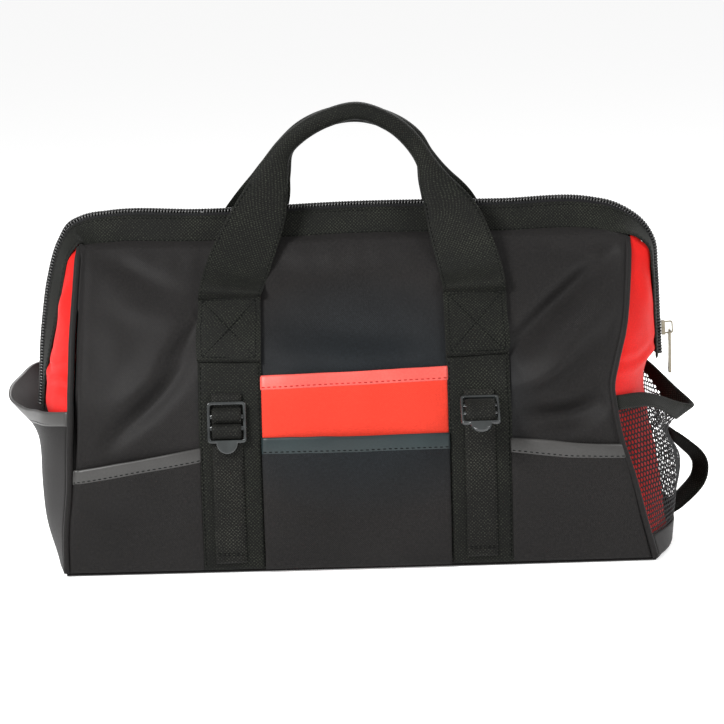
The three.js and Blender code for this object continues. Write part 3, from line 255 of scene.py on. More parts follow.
def mouth_frame(p):
    """The zip line's place and inward direction at distances along it."""
    low = np.maximum(p - 2, 0)
    high = np.minimum(p + 2, mouth_length)
    dx = through(mouth_knots, mouth_x, high) - through(mouth_knots, mouth_x, low)
    dz = through(mouth_knots, mouth_z, high) - through(mouth_knots, mouth_z, low)
    size = np.hypot(dx, dz)
    at = stack(through(mouth_knots, mouth_x, p), 0, through(mouth_knots, mouth_z, p))
    return at, stack(dz / size, 0, -dx / size)


def band_point(p, w, off, facing):
    """A point of the mouth band: share w of its width below its upper edge, and off its face."""
    p = np.asarray(p, float)
    at, inward = mouth_frame(p)
    lean = np.radians(through(mouth_knots, MOUTH["lean"], p))
    inset = BAND_INSET * through(mouth_knots, MOUTH["inset"], p)
    down = w * BAND_WIDTH
    sink = inset + down * np.sin(lean) - off * np.cos(lean)
    side = inset + down * np.cos(lean) + off * np.sin(lean)
    return at + inward * sink[..., None] + stack(0 * side, facing * side, 0 * side)


EDGE_W = 1 + GAP / BAND_WIDTH
top_run = np.linspace(mouth_length * 0.12, mouth_length * 0.88, 1500)
top_edge = band_point(top_run, EDGE_W, 0, -1)


def mouth_at_x(x):
    return np.interp(x, top_edge[:, 0], top_run)


def edge_height(x):
    return np.interp(x, np.clip(top_edge[:, 0], seam_top[-1][0], seam_top[1][0]), top_edge[:, 2])


seam_top = {}
for side in (-1, 1):
    station = mouth_at_x(side * HALF_LENGTH * SEAM[side][-1])
    seam_top[side] = band_point(station, EDGE_W, 0, -1)


def seam_point(side, t, facing):
    top = seam_top[side]
    settle = np.clip(t, 0, 1) ** 4
    x = side * HALF_LENGTH * through(SEAM["t"], SEAM[side], t)
    y = HALF_DEPTH * through(SEAM["t"], SEAM["depth"], t)
    x = x + settle * (top[0] - side * HALF_LENGTH * SEAM[side][-1])
    y = y + settle * (-top[1] - HALF_DEPTH * SEAM["depth"][-1])
    return stack(x, facing * y, FOOT + t * (top[2] - FOOT))


def line_distance(x, z, line):
    """Distance from points to a line of points, and how far along it they lie, from 0 to 1."""
    line = np.asarray(line, float)
    lengths = np.hypot(*np.diff(line, axis=0).T)
    total = lengths.sum()
    best = np.full(np.shape(x), 1e9)
    share = np.zeros(np.shape(x))
    done = 0
    for a, b, length in zip(line[:-1], line[1:], lengths):
        d = (b - a) / length
        along = np.clip((x - a[0]) * d[0] + (z - a[1]) * d[1], 0, length)
        away = np.hypot(x - a[0] - d[0] * along, z - a[1] - d[1] * along)
        closer = away < best
        best = np.where(closer, away, best)
        share = np.where(closer, (done + along) / total, share)
        done += length
    return best, share


def smooth_line(points, steps=24):
    points = np.asarray(points, float)
    if len(points) < 3:
        return points
    knots = np.arange(len(points))
    at = np.linspace(0, len(points) - 1, steps)
    return np.stack([through(knots, points[:, i], at) for i in range(points.shape[1])], axis=-1)


def ripple(x, z, scale, seed):
    """Smooth noise from -1 to 1 at points, with its features about scale apart."""
    flat = np.broadcast_arrays(np.asarray(x, float), np.asarray(z, float))
    shape = flat[0].shape
    values = [noise.noise(Vector((a / scale, b / scale, seed * 7.3))) for a, b in zip(flat[0].ravel(), flat[1].ravel())]
    return np.array(values).reshape(shape)


grid_x = np.linspace(-270, 270, 136)
grid_z = np.linspace(-10, 300, 79)


def noise_field(layers, seed):
    gx, gz = np.meshgrid(grid_x, grid_z)
    return sum(height * ripple(gx, gz, scale, seed + i) for i, (scale, height) in enumerate(layers))


def sample_field(field, x, z):
    """Smooth lookup in a field over the walls' x and z."""
    fx = np.clip((x - grid_x[0]) / (grid_x[1] - grid_x[0]), 0, len(grid_x) - 1.001)
    fz = np.clip((z - grid_z[0]) / (grid_z[1] - grid_z[0]), 0, len(grid_z) - 1.001)
    i = fx.astype(int)
    j = fz.astype(int)
    u = fx - i
    v = fz - j
    low = field[j, i] * (1 - u) + field[j, i + 1] * u
    high = field[j + 1, i] * (1 - u) + field[j + 1, i + 1] * u
    return low * (1 - v) + high * v


wall_noise = {
    facing: noise_field([(85, 2.2), (38, 1.0), (17, 0.45)], 3 + 10 * (facing > 0)) for facing in (-1, 1)
}
fold_lines = [(smooth_line(line), width, depth) for line, width, depth in FRONT_FOLDS]


def relief(x, z, facing):
    """How far the wall's folds press in, in millimetres."""
    total = sample_field(wall_noise[facing], x, z)
    across = x if facing < 0 else -x
    for line, width, depth in fold_lines:
        away, share = line_distance(across, z, line)
        fade = np.sin(np.pi * np.clip(share * 0.86 + 0.07, 0, 1)) ** 0.7
        total = total + FOLD_STRENGTH * depth * fade * np.exp(-((away / (FOLD_SPREAD * width)) ** 2))
    pucker = np.exp(-np.clip(edge_height(x) - z, 0, 99) / 9)
    return total + 1.1 * pucker * np.sin(x / 4.3 + 2.4 * np.sin(x / 23))


def panel_face(x, t, facing):
    x = np.asarray(x, float)
    left = seam_point(-1, t, facing)
    right = seam_point(1, t, facing)
    u = (x - left[..., 0]) / (right[..., 0] - left[..., 0])
    z = FOOT + t * (edge_height(x) - FOOT)
    seam_y = np.abs(lerp(left[..., 1], right[..., 1], u))
    belly = HALF_DEPTH * (through(SEAM["t"], SEAM["belly"], t) - through(SEAM["t"], SEAM["depth"], t))
    crown = 1 - np.abs(2 * u - 1) ** 2.5
    free = smoothstep(1.0, 0.93, t) * smoothstep(0, 0.03, u) * smoothstep(1, 0.97, u) * smoothstep(0, 0.06, t)
    return stack(x, facing * (seam_y + belly * crown - relief(x, z, facing) * free), z)


def panel_point(x, t, off, facing):
    x, t = np.broadcast_arrays(np.asarray(x, float), np.asarray(t, float))
    across = panel_face(x + 1, t, facing) - panel_face(x - 1, t, facing)
    up = panel_face(x, np.minimum(t + 0.004, 1), facing) - panel_face(x, np.maximum(t - 0.004, 0), facing)
    out = unit(np.cross(across, up)) * -facing
    return panel_face(x, t, facing) + out * np.asarray(off, float)[..., None], out


def panel_at(x, z, off, facing):
    """A point off the front or back wall at x and height z."""
    x = np.asarray(x, float)
    t = (np.asarray(z, float) - FOOT) / (edge_height(x) - FOOT)
    return panel_point(x, np.clip(t, 0, 1), off, facing)[0]


def panel_normal(x, z, facing):
    t = (np.asarray(z, float) - FOOT) / (edge_height(np.asarray(x, float)) - FOOT)
    return panel_point(x, np.clip(t, 0, 1), 0, facing)[1]


# Mesh builders. Points are grids in millimetres.

def new_object(name, verts, faces, uvs, material, slot):
    mesh = bpy.data.meshes.new(name)
    mesh.from_pydata((np.asarray(verts) * MM).tolist(), [], np.asarray(faces).tolist())
    layer = mesh.uv_layers.new(name="UVMap")
    loops = np.empty(len(mesh.loops), dtype=np.int32)
    mesh.loops.foreach_get("vertex_index", loops)
    layer.data.foreach_set("uv", np.asarray(uvs, float)[loops].ravel())
    mesh.polygons.foreach_set("use_smooth", [True] * len(mesh.polygons))
    mesh.materials.append(material)
    mesh.update()
    obj = bpy.data.objects.new(name, mesh)
    bpy.context.scene.collection.objects.link(obj)
    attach(obj, "bag")
    return obj


def grid_uv(points, origin=(0, 0)):
    """Distances along a grid in millimetres, so that a weave keeps its real scale."""
    rows, cols = points.shape[:2]
    middle_row = points[rows // 2]
    middle_col = points[:, cols // 2]
    u = np.concatenate([[0], np.cumsum(np.linalg.norm(np.diff(middle_row, axis=0), axis=-1))])
    v = np.concatenate([[0], np.cumsum(np.linalg.norm(np.diff(middle_col, axis=0), axis=-1))])
    return stack(u[None, :] + origin[0], v[:, None] + origin[1], 0 * u[None, :] + 0 * v[:, None])[..., :2]


def grid_faces(rows, cols, first=0, turned=False):
    i, j = np.meshgrid(np.arange(rows - 1), np.arange(cols - 1), indexing="ij")
    a = first + i * cols + j
    quads = np.stack([a, a + 1, a + cols + 1, a + cols], axis=-1).reshape(-1, 4)
    return quads[:, ::-1] if turned else quads


def sheet(name, points, material, slot, turned=False, uv=None):
    uv = grid_uv(points) if uv is None else uv
    faces = grid_faces(*points.shape[:2], turned=turned)
    return new_object(name, points.reshape(-1, 3), faces, uv.reshape(-1, 2), material, slot)


def grid_normals(points, turned=False):
    du = np.gradient(points, axis=1)
    dv = np.gradient(points, axis=0)
    n = unit(np.cross(du, dv))
    return -n if turned else n


def thick_parts(points, thickness, turned=False, rounding=0.3, uv=None):
    """A sheet with both faces and soft edges all round: vertices, faces and UVs."""
    n = grid_normals(points, turned)
    rows, cols = points.shape[:2]
    thickness = np.broadcast_to(np.asarray(thickness, float), (rows, cols))[..., None]
    ring_u = np.zeros((rows, cols))
    ring_u[:, 0] = ring_u[:, -1] = ring_u[0] = ring_u[-1] = 1
    pull = ring_u[..., None] * thickness * rounding
    outer = points + n * (thickness - pull)
    inner = points + n * pull
    uv = grid_uv(points) if uv is None else uv
    verts = np.concatenate([outer.reshape(-1, 3), inner.reshape(-1, 3)])
    count = rows * cols
    faces = [grid_faces(rows, cols, 0, turned), grid_faces(rows, cols, count, not turned)]
    index = np.arange(count).reshape(rows, cols)
    rim = np.concatenate([index[0, :-1], index[:-1, -1], index[-1, :0:-1], index[:0:-1, 0]])
    rim_next = np.roll(rim, -1)
    side = np.stack([rim, rim + count, rim_next + count, rim_next], axis=-1)
    faces.append(side[:, ::-1] if turned else side)
    return verts, np.concatenate(faces), np.concatenate([uv.reshape(-1, 2)] * 2)


def thick_sheet(name, points, thickness, material, slot, turned=False, rounding=0.3, uv=None):
    return new_object(name, *thick_parts(points, thickness, turned, rounding, uv), material, slot)


def tube(name, rings, material, slot):
    """A closed tube from rings of points."""
    count, sides = rings.shape[:2]
    closed = np.concatenate([rings, rings[:, :1]], axis=1)
    uv = grid_uv(closed)
    uv[:, 1:, 0] = np.cumsum(np.linalg.norm(np.diff(closed, axis=1), axis=-1), axis=1)
    verts = closed.reshape(-1, 3)
    faces = grid_faces(count, sides + 1).tolist()
    caps = [list(range(sides))[::-1], [(count - 1) * (sides + 1) + k for k in range(sides)]]
    obj = new_object(name, verts, faces, uv.reshape(-1, 2), material, slot)
    mesh = obj.data
    mesh.clear_geometry()
    mesh.from_pydata((verts * MM).tolist(), [], faces + caps)
    layer = mesh.uv_layers.new(name="UVMap")
    loops = np.empty(len(mesh.loops), dtype=np.int32)
    mesh.loops.foreach_get("vertex_index", loops)
    layer.data.foreach_set("uv", uv.reshape(-1, 2)[loops].ravel())
    mesh.polygons.foreach_set("use_smooth", [True] * len(mesh.polygons))
    return obj


def bar_rings(path, radius, sides=12):
    tangent = unit(np.gradient(path, axis=0))
    across = unit(np.cross(tangent, [1.0, 0, 0]))
    third = np.cross(tangent, across)
    turn = np.linspace(0, 2 * np.pi, sides, endpoint=False)
    radius = np.broadcast_to(np.asarray(radius, float), len(path))[:, None, None]
    circle = across[:, None] * np.cos(turn)[None, :, None] + third[:, None] * np.sin(turn)[None, :, None]
    return path[:, None] + radius * circle


def along_path(path, pitch):
    """Places a pitch apart along a path, with the path's direction there."""
    steps = np.linalg.norm(np.diff(path, axis=0), axis=-1)
    length = np.concatenate([[0], np.cumsum(steps)])
    count = max(int(length[-1] / pitch), 1)
    at = (np.arange(count) + 0.5) * length[-1] / count
    place = np.stack([np.interp(at, length, path[:, i]) for i in range(3)], axis=-1)
    ahead = np.stack([np.interp(at + 0.5, length, path[:, i]) for i in range(3)], axis=-1)
    back = np.stack([np.interp(at - 0.5, length, path[:, i]) for i in range(3)], axis=-1)
    return place, unit(ahead - back), at, length[-1]


stitch_store = {}


def stitches(group, path, normals, pitch=STITCH_PITCH, length=STITCH_LENGTH, width=STITCH_WIDTH):
    """Short raised threads along a path that lies on a surface."""
    place, along, at, total = along_path(path, pitch)
    steps = np.linalg.norm(np.diff(path, axis=0), axis=-1)
    distance = np.concatenate([[0], np.cumsum(steps)])
    out = unit(np.stack([np.interp(at, distance, normals[:, i]) for i in range(3)], axis=-1))
    across = unit(np.cross(out, along))
    rows = []
    profile = [(-0.5, 0.25, -0.25), (-0.3, 1, 0.22), (0.3, 1, 0.22), (0.5, 0.25, -0.25)]
    for share, wide, lift in profile:
        middle = place + along * (share * length)
        half = across * (width * 0.5 * wide)
        rows.append(np.stack([
            middle - half + out * (lift - 0.2),
            middle + out * (lift + 0.15 * wide),
            middle + half + out * (lift - 0.2),
        ], axis=1))
    verts = np.stack(rows, axis=1)
    stitch_store.setdefault(group, []).append(verts)


def build_stitches(looks):
    for group, batches in stitch_store.items():
        material, slot = looks[group]
        verts = np.concatenate(batches)
        count = len(verts)
        cells = grid_faces(4, 3)
        faces = (cells[None] + (np.arange(count) * 12)[:, None, None]).reshape(-1, 4)
        flat = verts.reshape(-1, 3)
        new_object(group, flat, faces, np.tile([[0.5, 0.5]], (len(flat), 1)), material, slot)


def join_parts(parts):
    """Several (verts, faces, uvs) as one, where all faces are quads."""
    verts, faces, uvs = [], [], []
    first = 0
    for v, f, uv in parts:
        verts.append(v)
        faces.append(np.asarray(f) + first)
        uvs.append(uv)
        first += len(v)
    return np.concatenate(verts), np.concatenate(faces), np.concatenate(uvs)


# Materials

class Nodes:
    """A small helper for building node trees."""

    def __init__(self, name, base_color, roughness, metallic=0.0, sheen=0.0, sheen_roughness=0.4, specular=0.5):
        self.material = bpy.data.materials.new(name)
        self.material.use_nodes = True
        self.tree = self.material.node_tree
        self.shader = self.tree.nodes["Principled BSDF"]
        self.shader.inputs["Base Color"].default_value = (*base_color, 1)
        self.shader.inputs["Roughness"].default_value = roughness
        self.shader.inputs["Metallic"].default_value = metallic
        self.shader.inputs["Specular IOR Level"].default_value = specular
        self.shader.inputs["Sheen Weight"].default_value = sheen
        self.shader.inputs["Sheen Roughness"].default_value = sheen_roughness
        self.coords = self.tree.nodes.new("ShaderNodeTexCoord")

    def link(self, a, b):
        self.tree.links.new(a, b)

    def math(self, operation, a, b=None, c=None):
        node = self.tree.nodes.new("ShaderNodeMath")
        node.operation = operation
        for i, value in enumerate((a, b, c)):
            if value is None:
                continue
            if isinstance(value, (int, float)):
                node.inputs[i].default_value = value
            else:
                self.link(value, node.inputs[i])
        return node.outputs[0]

    def uv(self):
        node = self.tree.nodes.new("ShaderNodeSeparateXYZ")
        self.link(self.coords.outputs["UV"], node.inputs[0])
        return node.outputs["X"], node.outputs["Y"]

    def noise(self, scale, detail=2.0, source="Object", stretch=(1, 1, 1)):
        mapping = self.tree.nodes.new("ShaderNodeMapping")
        mapping.inputs["Scale"].default_value = stretch
        self.link(self.coords.outputs[source], mapping.inputs["Vector"])
        node = self.tree.nodes.new("ShaderNodeTexNoise")
        node.inputs["Scale"].default_value = scale
        node.inputs["Detail"].default_value = detail
        self.link(mapping.outputs[0], node.inputs["Vector"])
        return node.outputs["Fac"]

    def wave(self, coordinate, pitch, phase=0.0):
        """0 to 1 and back over each pitch of a coordinate in millimetres."""
        turn = self.math("MULTIPLY_ADD", coordinate, 2 * math.pi / pitch, phase)
        return self.math("MULTIPLY_ADD", self.math("SINE", turn), 0.5, 0.5)

    def ramp(self, value, stops):
        node = self.tree.nodes.new("ShaderNodeValToRGB")
        ramp = node.color_ramp
        while len(ramp.elements) < len(stops):
            ramp.elements.new(0.5)
        for element, (place, color) in zip(ramp.elements, stops):
            element.position = place
            element.color = (*color, 1)
        self.link(value, node.inputs[0])
        return node.outputs[0]

    def color(self, output):
        self.link(output, self.shader.inputs["Base Color"])

    def roughness(self, value, low, high):
        self.link(self.math("MULTIPLY_ADD", value, high - low, low), self.shader.inputs["Roughness"])

    def bump(self, height, distance, strength=1.0, under=None):
        node = self.tree.nodes.new("ShaderNodeBump")
        node.inputs["Distance"].default_value = distance * MM
        node.inputs["Strength"].default_value = strength
        self.link(height, node.inputs["Height"])
        if under is not None:
            self.link(under, node.inputs["Normal"])
        self.link(node.outputs[0], self.shader.inputs["Normal"])
        return node.outputs[0]


def shade(color, factor):
    return tuple(min(c * factor, 1) for c in color)


def painted_cool_light(n, plain, painted_light_color):
    """Painted cool light: a cooler shade of the cloth on the front, round the centre given at the top, that fades out
    within the reach given there. It stands in for cool light on the middle of the front wall.
    """
    node = n.tree.nodes.new("ShaderNodeSeparateXYZ")
    n.link(n.coords.outputs["Object"], node.inputs[0])
    away = None
    for axis, centre, reach in zip(("X", "Z"), PAINTED_LIGHT_CENTRE, PAINTED_LIGHT_REACH):
        share = n.math("MULTIPLY_ADD", node.outputs[axis], 1 / (reach * MM), -centre / reach)
        square = n.math("MULTIPLY", share, share)
        away = square if away is None else n.math("ADD", away, square)
    # How much of the painted cool light each point of the front gets.
    painted_light_mask = n.math("MAXIMUM", n.math("SUBTRACT", 1.0, away), 0.0)
    painted_light_mask = n.math("MULTIPLY", painted_light_mask, n.math("LESS_THAN", node.outputs["Y"], 0.0))
    mix = n.tree.nodes.new("ShaderNodeMix")
    mix.data_type = "RGBA"
    n.link(painted_light_mask, mix.inputs["Factor"])
    n.link(plain, mix.inputs[6])
    n.link(painted_light_color, mix.inputs[7])
    return mix.outputs[2]


def cloth(name, color, thread=0.9, roughness=0.6, sheen=0.03, specular=0.13, contrast=0.6, painted_light_color=None):
    """Plain weave: threads over and under at a pitch, with uneven yarn. A second, cooler colour, if given, is mixed in
    on the front's middle as painted cool light.
    """
    n = Nodes(name, color, roughness, sheen=sheen, specular=specular)
    u, v = n.uv()
    over = n.math("SINE", n.math("MULTIPLY", u, math.pi / thread))
    under = n.math("SINE", n.math("MULTIPLY", v, math.pi / thread))
    weave = n.math("MULTIPLY_ADD", n.math("MULTIPLY", over, under), 0.5, 0.5)
    slub = n.noise(0.9, 2, "UV", (1, 0.35, 1))
    cross = n.noise(0.9, 2, "UV", (0.35, 1, 1))
    yarn = n.math("MULTIPLY", n.math("ADD", slub, cross), 0.5)
    height = n.math("MULTIPLY_ADD", yarn, 0.9, weave)
    patches = n.noise(14, 3)
    mix = n.math("MULTIPLY_ADD", yarn, 0.75, n.math("MULTIPLY", patches, 0.25))
    mix = n.math("MULTIPLY_ADD", weave, 0.12, mix)
    steps = ((0.36, 1 - contrast), (0.55, 1.0), (0.78, 1 + 1.7 * contrast))
    shades = [n.ramp(mix, [(at, shade(c, factor)) for at, factor in steps]) for c in (color, painted_light_color) if c]
    n.color(painted_cool_light(n, *shades) if painted_light_color else shades[0])
    n.roughness(patches, roughness - 0.08, roughness + 0.08)
    n.bump(height, 0.16, 0.8)
    return n.material


def webbing(name, color, rib=1.45, roughness=0.7, sheen=0.03):
    """Woven webbing: rows of short yarns that cross each other, at a pitch of about 1.5 mm."""
    n = Nodes(name, color, roughness, sheen=sheen, specular=0.14)
    u, v = n.uv()
    u = n.math("MULTIPLY_ADD", n.noise(0.3, 2, "UV", (1, 0.3, 1)), 1.6, u)
    v = n.math("MULTIPLY_ADD", n.noise(0.35, 2, "UV", (0.4, 1, 1)), 1.6, v)
    across = n.math("SINE", n.math("MULTIPLY", u, math.pi / rib))
    along = n.math("SINE", n.math("MULTIPLY", v, math.pi / rib))
    check = n.math("MULTIPLY", across, along)
    ridges = n.math("ABSOLUTE", along)
    height = n.math("MULTIPLY_ADD", check, 0.5, n.math("MULTIPLY", ridges, 0.1))
    fuzz = n.noise(0.8, 2, "UV")
    patches = n.noise(30, 3)
    mix = n.math("MULTIPLY_ADD", height, 0.27, n.math("MULTIPLY", fuzz, 0.5))
    mix = n.math("MULTIPLY_ADD", patches, 0.22, mix)
    n.color(n.ramp(mix, [(0.36, shade(color, 0.25)), (0.46, color), (0.57, shade(color, 3.8))]))
    n.roughness(patches, roughness - 0.06, roughness + 0.08)
    n.bump(n.math("MULTIPLY_ADD", fuzz, 0.9, height), 0.2, 0.7)
    return n.material


def coated(name, color, roughness=0.42, specular=0.4):
    """Smooth coated tape with a faint grain."""
    n = Nodes(name, color, roughness, specular=specular)
    grain = n.noise(0.55, 3, "UV")
    patches = n.noise(20, 3)
    mix = n.math("MULTIPLY_ADD", grain, 0.4, n.math("MULTIPLY", patches, 0.6))
    n.color(n.ramp(mix, [(0.3, shade(color, 0.75)), (0.5, color), (0.75, shade(color, 1.3))]))
    n.roughness(patches, roughness - 0.06, roughness + 0.1)
    n.bump(grain, 0.1, 0.5)
    return n.material


def moulded(name, color, roughness=0.35, grain_scale=420, specular=0.5):
    n = Nodes(name, color, roughness, specular=specular)
    grain = n.noise(grain_scale, 3)
    wear = n.noise(60, 4)
    n.color(n.ramp(wear, [(0.35, shade(color, 0.8)), (0.7, shade(color, 1.5))]))
    n.roughness(wear, roughness - 0.08, roughness + 0.12)
    n.bump(grain, 0.05, 0.5)
    return n.material


def plated(name, color):
    n = Nodes(name, color, 0.28, metallic=1.0)
    wear = n.noise(300, 4)
    n.color(n.ramp(wear, [(0.3, shade(color, 0.75)), (0.6, color), (0.8, shade(color, 1.2))]))
    n.roughness(wear, 0.18, 0.42)
    n.bump(wear, 0.03, 0.4)
    return n.material


# The black cloth's second, cooler colour is painted cool light on the middle of the front wall.
black_cloth = cloth("black_cloth", (0.0072, 0.0065, 0.0063), roughness=0.57, specular=0.14,
                    painted_light_color=(0.0044, 0.0063, 0.008))
red_cloth = cloth("red_cloth", (0.5, 0.006, 0.004), contrast=0.2)
orange_cloth = cloth("bright_red_cloth", (0.5, 0.03, 0.015), contrast=0.12)
black_webbing = webbing("black_webbing", (0.0066, 0.0073, 0.0052))
strap_webbing = webbing("strap_webbing", (0.0096, 0.0098, 0.0078))
grey_binding = coated("grey_binding", (0.03, 0.029, 0.0275))
teal_binding = coated("teal_grey_binding", (0.0075, 0.0155, 0.017))
red_binding = coated("red_binding", (0.56, 0.07, 0.055))
net_thread = cloth("net_thread", (0.0045, 0.0045, 0.005), thread=0.5, contrast=0.3)
# The zip tape's black is darker than the cloth's: partly its own colour, partly painted shade along the mouth.
zip_tape = cloth("zip_tape", (0.004, 0.004, 0.0045), thread=0.7)
thread_black = moulded("black_thread", (0.0035, 0.004, 0.0035), 0.8, 420, 0.05)
thread_grey = moulded("grey_thread", (0.004, 0.005, 0.005), 0.8, 420, 0.05)
thread_red = moulded("red_thread", (0.3, 0.012, 0.01), 0.8, 420, 0.05)
plastic = moulded("black_plastic", (0.02, 0.0225, 0.0225), 0.2)
zip_plastic = moulded("zip_teeth", (0.014, 0.014, 0.0135), 0.28)
metal = plated("zip_metal", (0.23, 0.205, 0.155))


# Camera

def place_camera():
    camera = bpy.data.objects.new("camera", bpy.data.cameras.new("camera"))
    bpy.context.scene.collection.objects.link(camera)
    camera.data.lens = CAMERA_LENS
    camera.data.sensor_width = 36
    camera.data.clip_end = 20
    elevation = math.radians(CAMERA_ELEVATION)
    forward = Vector((0, math.cos(elevation), -math.sin(elevation)))
    camera.location = Vector(CAMERA_TARGET) * MM - forward * CAMERA_DISTANCE * MM
    level = forward.to_track_quat("-Z", "Y").to_matrix()
    turned = level @ Matrix.Rotation(math.radians(-CAMERA_ROLL), 3, "Z")
    camera.rotation_euler = turned.to_euler()
    bpy.context.scene.camera = camera


# Pieces

def make_walls():
    for facing, node in ((-1, "front_panel"), (1, "back_panel")):
        t = np.linspace(0, 1, 130)[:, None]
        left = seam_point(-1, t, facing)[..., 0]
        right = seam_point(1, t, facing)[..., 0]
        u = np.linspace(0.0008, 0.9992, 230)[None, :]
        x = lerp(left, right, u)
        points, _ = panel_point(x, t + 0 * x, np.full(x.shape, -0.2), facing)
        tucked = band_point(mouth_at_x(x[-1]), 0.8, -0.5, facing)
        points = np.concatenate([points, tucked[None]])
        wall = sheet(node.replace("panel", "wall"), points, black_cloth, "black_nylon", facing > 0)
        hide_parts(node)


def end_inner(side, t, facing):
    """The end panel's line beside the zip band, which becomes its middle line lower down."""
    share = end_share(side)
    middle_x = side * HALF_LENGTH * through(END["t"], END[side], t)
    seam = seam_point(side, t, facing)
    end_y = abs(band_point(np.array(mouth_end[side]), EDGE_W, 0, -1)[1])
    low = stack(
        lerp(seam[..., 0], middle_x, 0.93),
        facing * np.minimum(end_y, np.abs(seam[..., 1]) * 0.6),
        seam[..., 2],
    )
    path = np.linspace(mouth_end[side], float(mouth_at_x(seam_top[side][0])), 400)
    edge = band_point(path, EDGE_W, BAND_THICKNESS * 0.3, facing)
    order = np.argsort(edge[:, 2])
    station = np.interp(seam[..., 2], edge[order, 2], path[order])
    high = band_point(station, 0.9, 0.1, facing)
    mix = smoothstep(share - 0.05, share + 0.06, t)[..., None]
    return lerp(low, high, mix)


mouth_end = {-1: 0.0, 1: float(mouth_length)}


def end_share(side):
    cut = mouth_frame(np.array(mouth_end[side]))[0][2] - GAP
    return (cut - FOOT) / (seam_top[side][2] - FOOT)


def end_noise(side):
    layers = [(60, 2.0), (26, 1.1), (12, 0.5)]
    gy, gz = np.meshgrid(grid_x, grid_z)
    return sum(height * ripple(gy, gz, scale, 40 + side + i) for i, (scale, height) in enumerate(layers))


end_fields = {side: end_noise(side) for side in (-1, 1)}


def end_face(side, t, along, facing):
    """A point of an end panel: along is 0 at the seam, 1 beside the zip and 2 at Y = 0."""
    t, along = np.broadcast_arrays(np.asarray(t, float), np.asarray(along, float))
    seam = seam_point(side, t, facing)
    inner = end_inner(side, t, facing)
    middle_x = side * HALF_LENGTH * through(END["t"], END[side], t)
    near = np.clip(along, 0, 1)
    bulge = 0.045 * HALF_DEPTH * np.sin(np.pi * near) * smoothstep(1.02, 0.8, t)
    outer = lerp(seam, inner, near[..., None])
    outer = outer + stack(side * bulge, facing * bulge * 0.5, 0 * bulge)
    far = np.clip(along - 1, 0, 1)
    centre = stack(lerp(inner[..., 0], middle_x, 1 - (1 - far) ** 2), inner[..., 1] * (1 - far), seam[..., 2])
    point = np.where((along > 1)[..., None], centre, outer)
    free = smoothstep(0, 0.12, along) * smoothstep(0, 0.05, t) * smoothstep(1.0, 0.94, t)
    gather = 1.6 * np.sin(point[..., 1] / 5.1 + 2.1 * np.sin(point[..., 2] / 33)) * smoothstep(0.75, 0.97, t)
    crease = 1.5 * np.sin(point[..., 2] / 2.6 + 1.7 * np.sin(point[..., 1] / 14 + side))
    crease = crease * np.exp(-(((point[..., 2] - 162) / 11) ** 2))
    dent = sample_field(end_fields[side], point[..., 1], point[..., 2]) + gather + crease
    return point - stack(side * dent * free, 0 * t, 0 * t)


def make_ends():
    for side, node in ((-1, "left_end_panel"), (1, "right_end_panel")):
        parts = []
        share = end_share(side)
        for facing in (-1, 1):
            t = np.linspace(0, 0.985, 110)[:, None]
            along = np.linspace(0.018, 1, 34)[None, :]
            points = end_face(side, t + 0 * along, along + 0 * t, facing)
            under = smoothstep(0.955, 0.985, t) * smoothstep(0.05, 0.1, along)
            points = points + stack(-side * 1.3 * under, -facing * 1.3 * under, 0 * under)
            share_up = smoothstep(0.12, 0.4, along[0])
            tucked = points[-1] + stack(-side * 0.5 * share_up, -facing * 2.2 * share_up, 4.5 * share_up)
            points = np.concatenate([points, tucked[None]])
            turned = side * facing < 0
            parts.append((points.reshape(-1, 3), grid_faces(111, 34, 0, not turned), grid_uv(points).reshape(-1, 2)))
            t = np.linspace(0, share - 0.005, 60)[:, None]
            along = np.linspace(1, 2, 14)[None, :]
            points = end_face(side, t + 0 * along, along + 0 * t, facing)
            parts.append((points.reshape(-1, 3), grid_faces(60, 14, 0, not turned), grid_uv(points).reshape(-1, 2)))
        obj = new_object(node.replace("panel", "wall"), *join_parts(parts), red_cloth, "red_nylon")
        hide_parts(node)


def make_base():
    u = np.linspace(0, 1, 60)
    v = np.linspace(0, 1, 40)
    front_x = lerp(seam_point(-1, 0, -1)[0], seam_point(1, 0, -1)[0], u)
    points = np.empty((40, 60, 3))
    for j, share in enumerate(u):
        front = panel_face(front_x[j], 0.0, -1)
        back = panel_face(front_x[j], 0.0, 1)
        points[:, j] = lerp(front[None], back[None], v[:, None])
    for side, column in ((-1, 0), (1, -1)):
        reach = abs(2 * v - 1) ** 2.2
        middle = side * HALF_LENGTH * END[side][0]
        seam_x = seam_point(side, 0, -1)[0]
        target = lerp(middle, seam_x, reach)
        pull = np.linspace(0, 1, 60) ** 3 if side > 0 else np.linspace(1, 0, 60) ** 3
        points[..., 0] += (target - seam_x)[:, None] * pull[None, :]
    points[..., 2] = 0.0
    obj = thick_sheet("base_board", points, BASE + GAP, black_cloth, "black_nylon", False, 0.25)
    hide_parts("base_panel")


def make_piping():
    for side, where in ((-1, "left"), (1, "right")):
        for facing, front in ((-1, "front"), (1, "back")):
            t = np.linspace(0, 0.992, 150)
            path = seam_point(side, t, facing)
            sink = 2.6 * smoothstep(0.955, 0.992, t)
            path = path - stack(side * sink * 0.3, facing * sink, 0 * sink)
            wobble = 0.25 * np.sin(np.arange(150) * 0.9) + 0.2 * np.sin(np.arange(150) * 0.37)
            rings = bar_rings(path, PIPING_RADIUS + 0.12 * wobble, 12)
            obj = tube(f"cord_{front}_{where}", rings, black_cloth, "black_nylon")
            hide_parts(f"piping_{front}_{where}")


def band_grid(w_list, off, facing, count=420):
    p = np.linspace(0, mouth_length, count)[:, None]
    w = np.asarray(w_list)[None, :]
    wobble = 0.5 * np.sin(p / 23) * np.sin(p / 61 + 1) + 0.25 * np.sin(p / 9.1)
    edge = smoothstep(0, 60, p) * smoothstep(mouth_length, mouth_length - 60, p)
    return band_point(p + 0 * w, w + 0 * p, off + wobble * edge * w ** 2, facing)


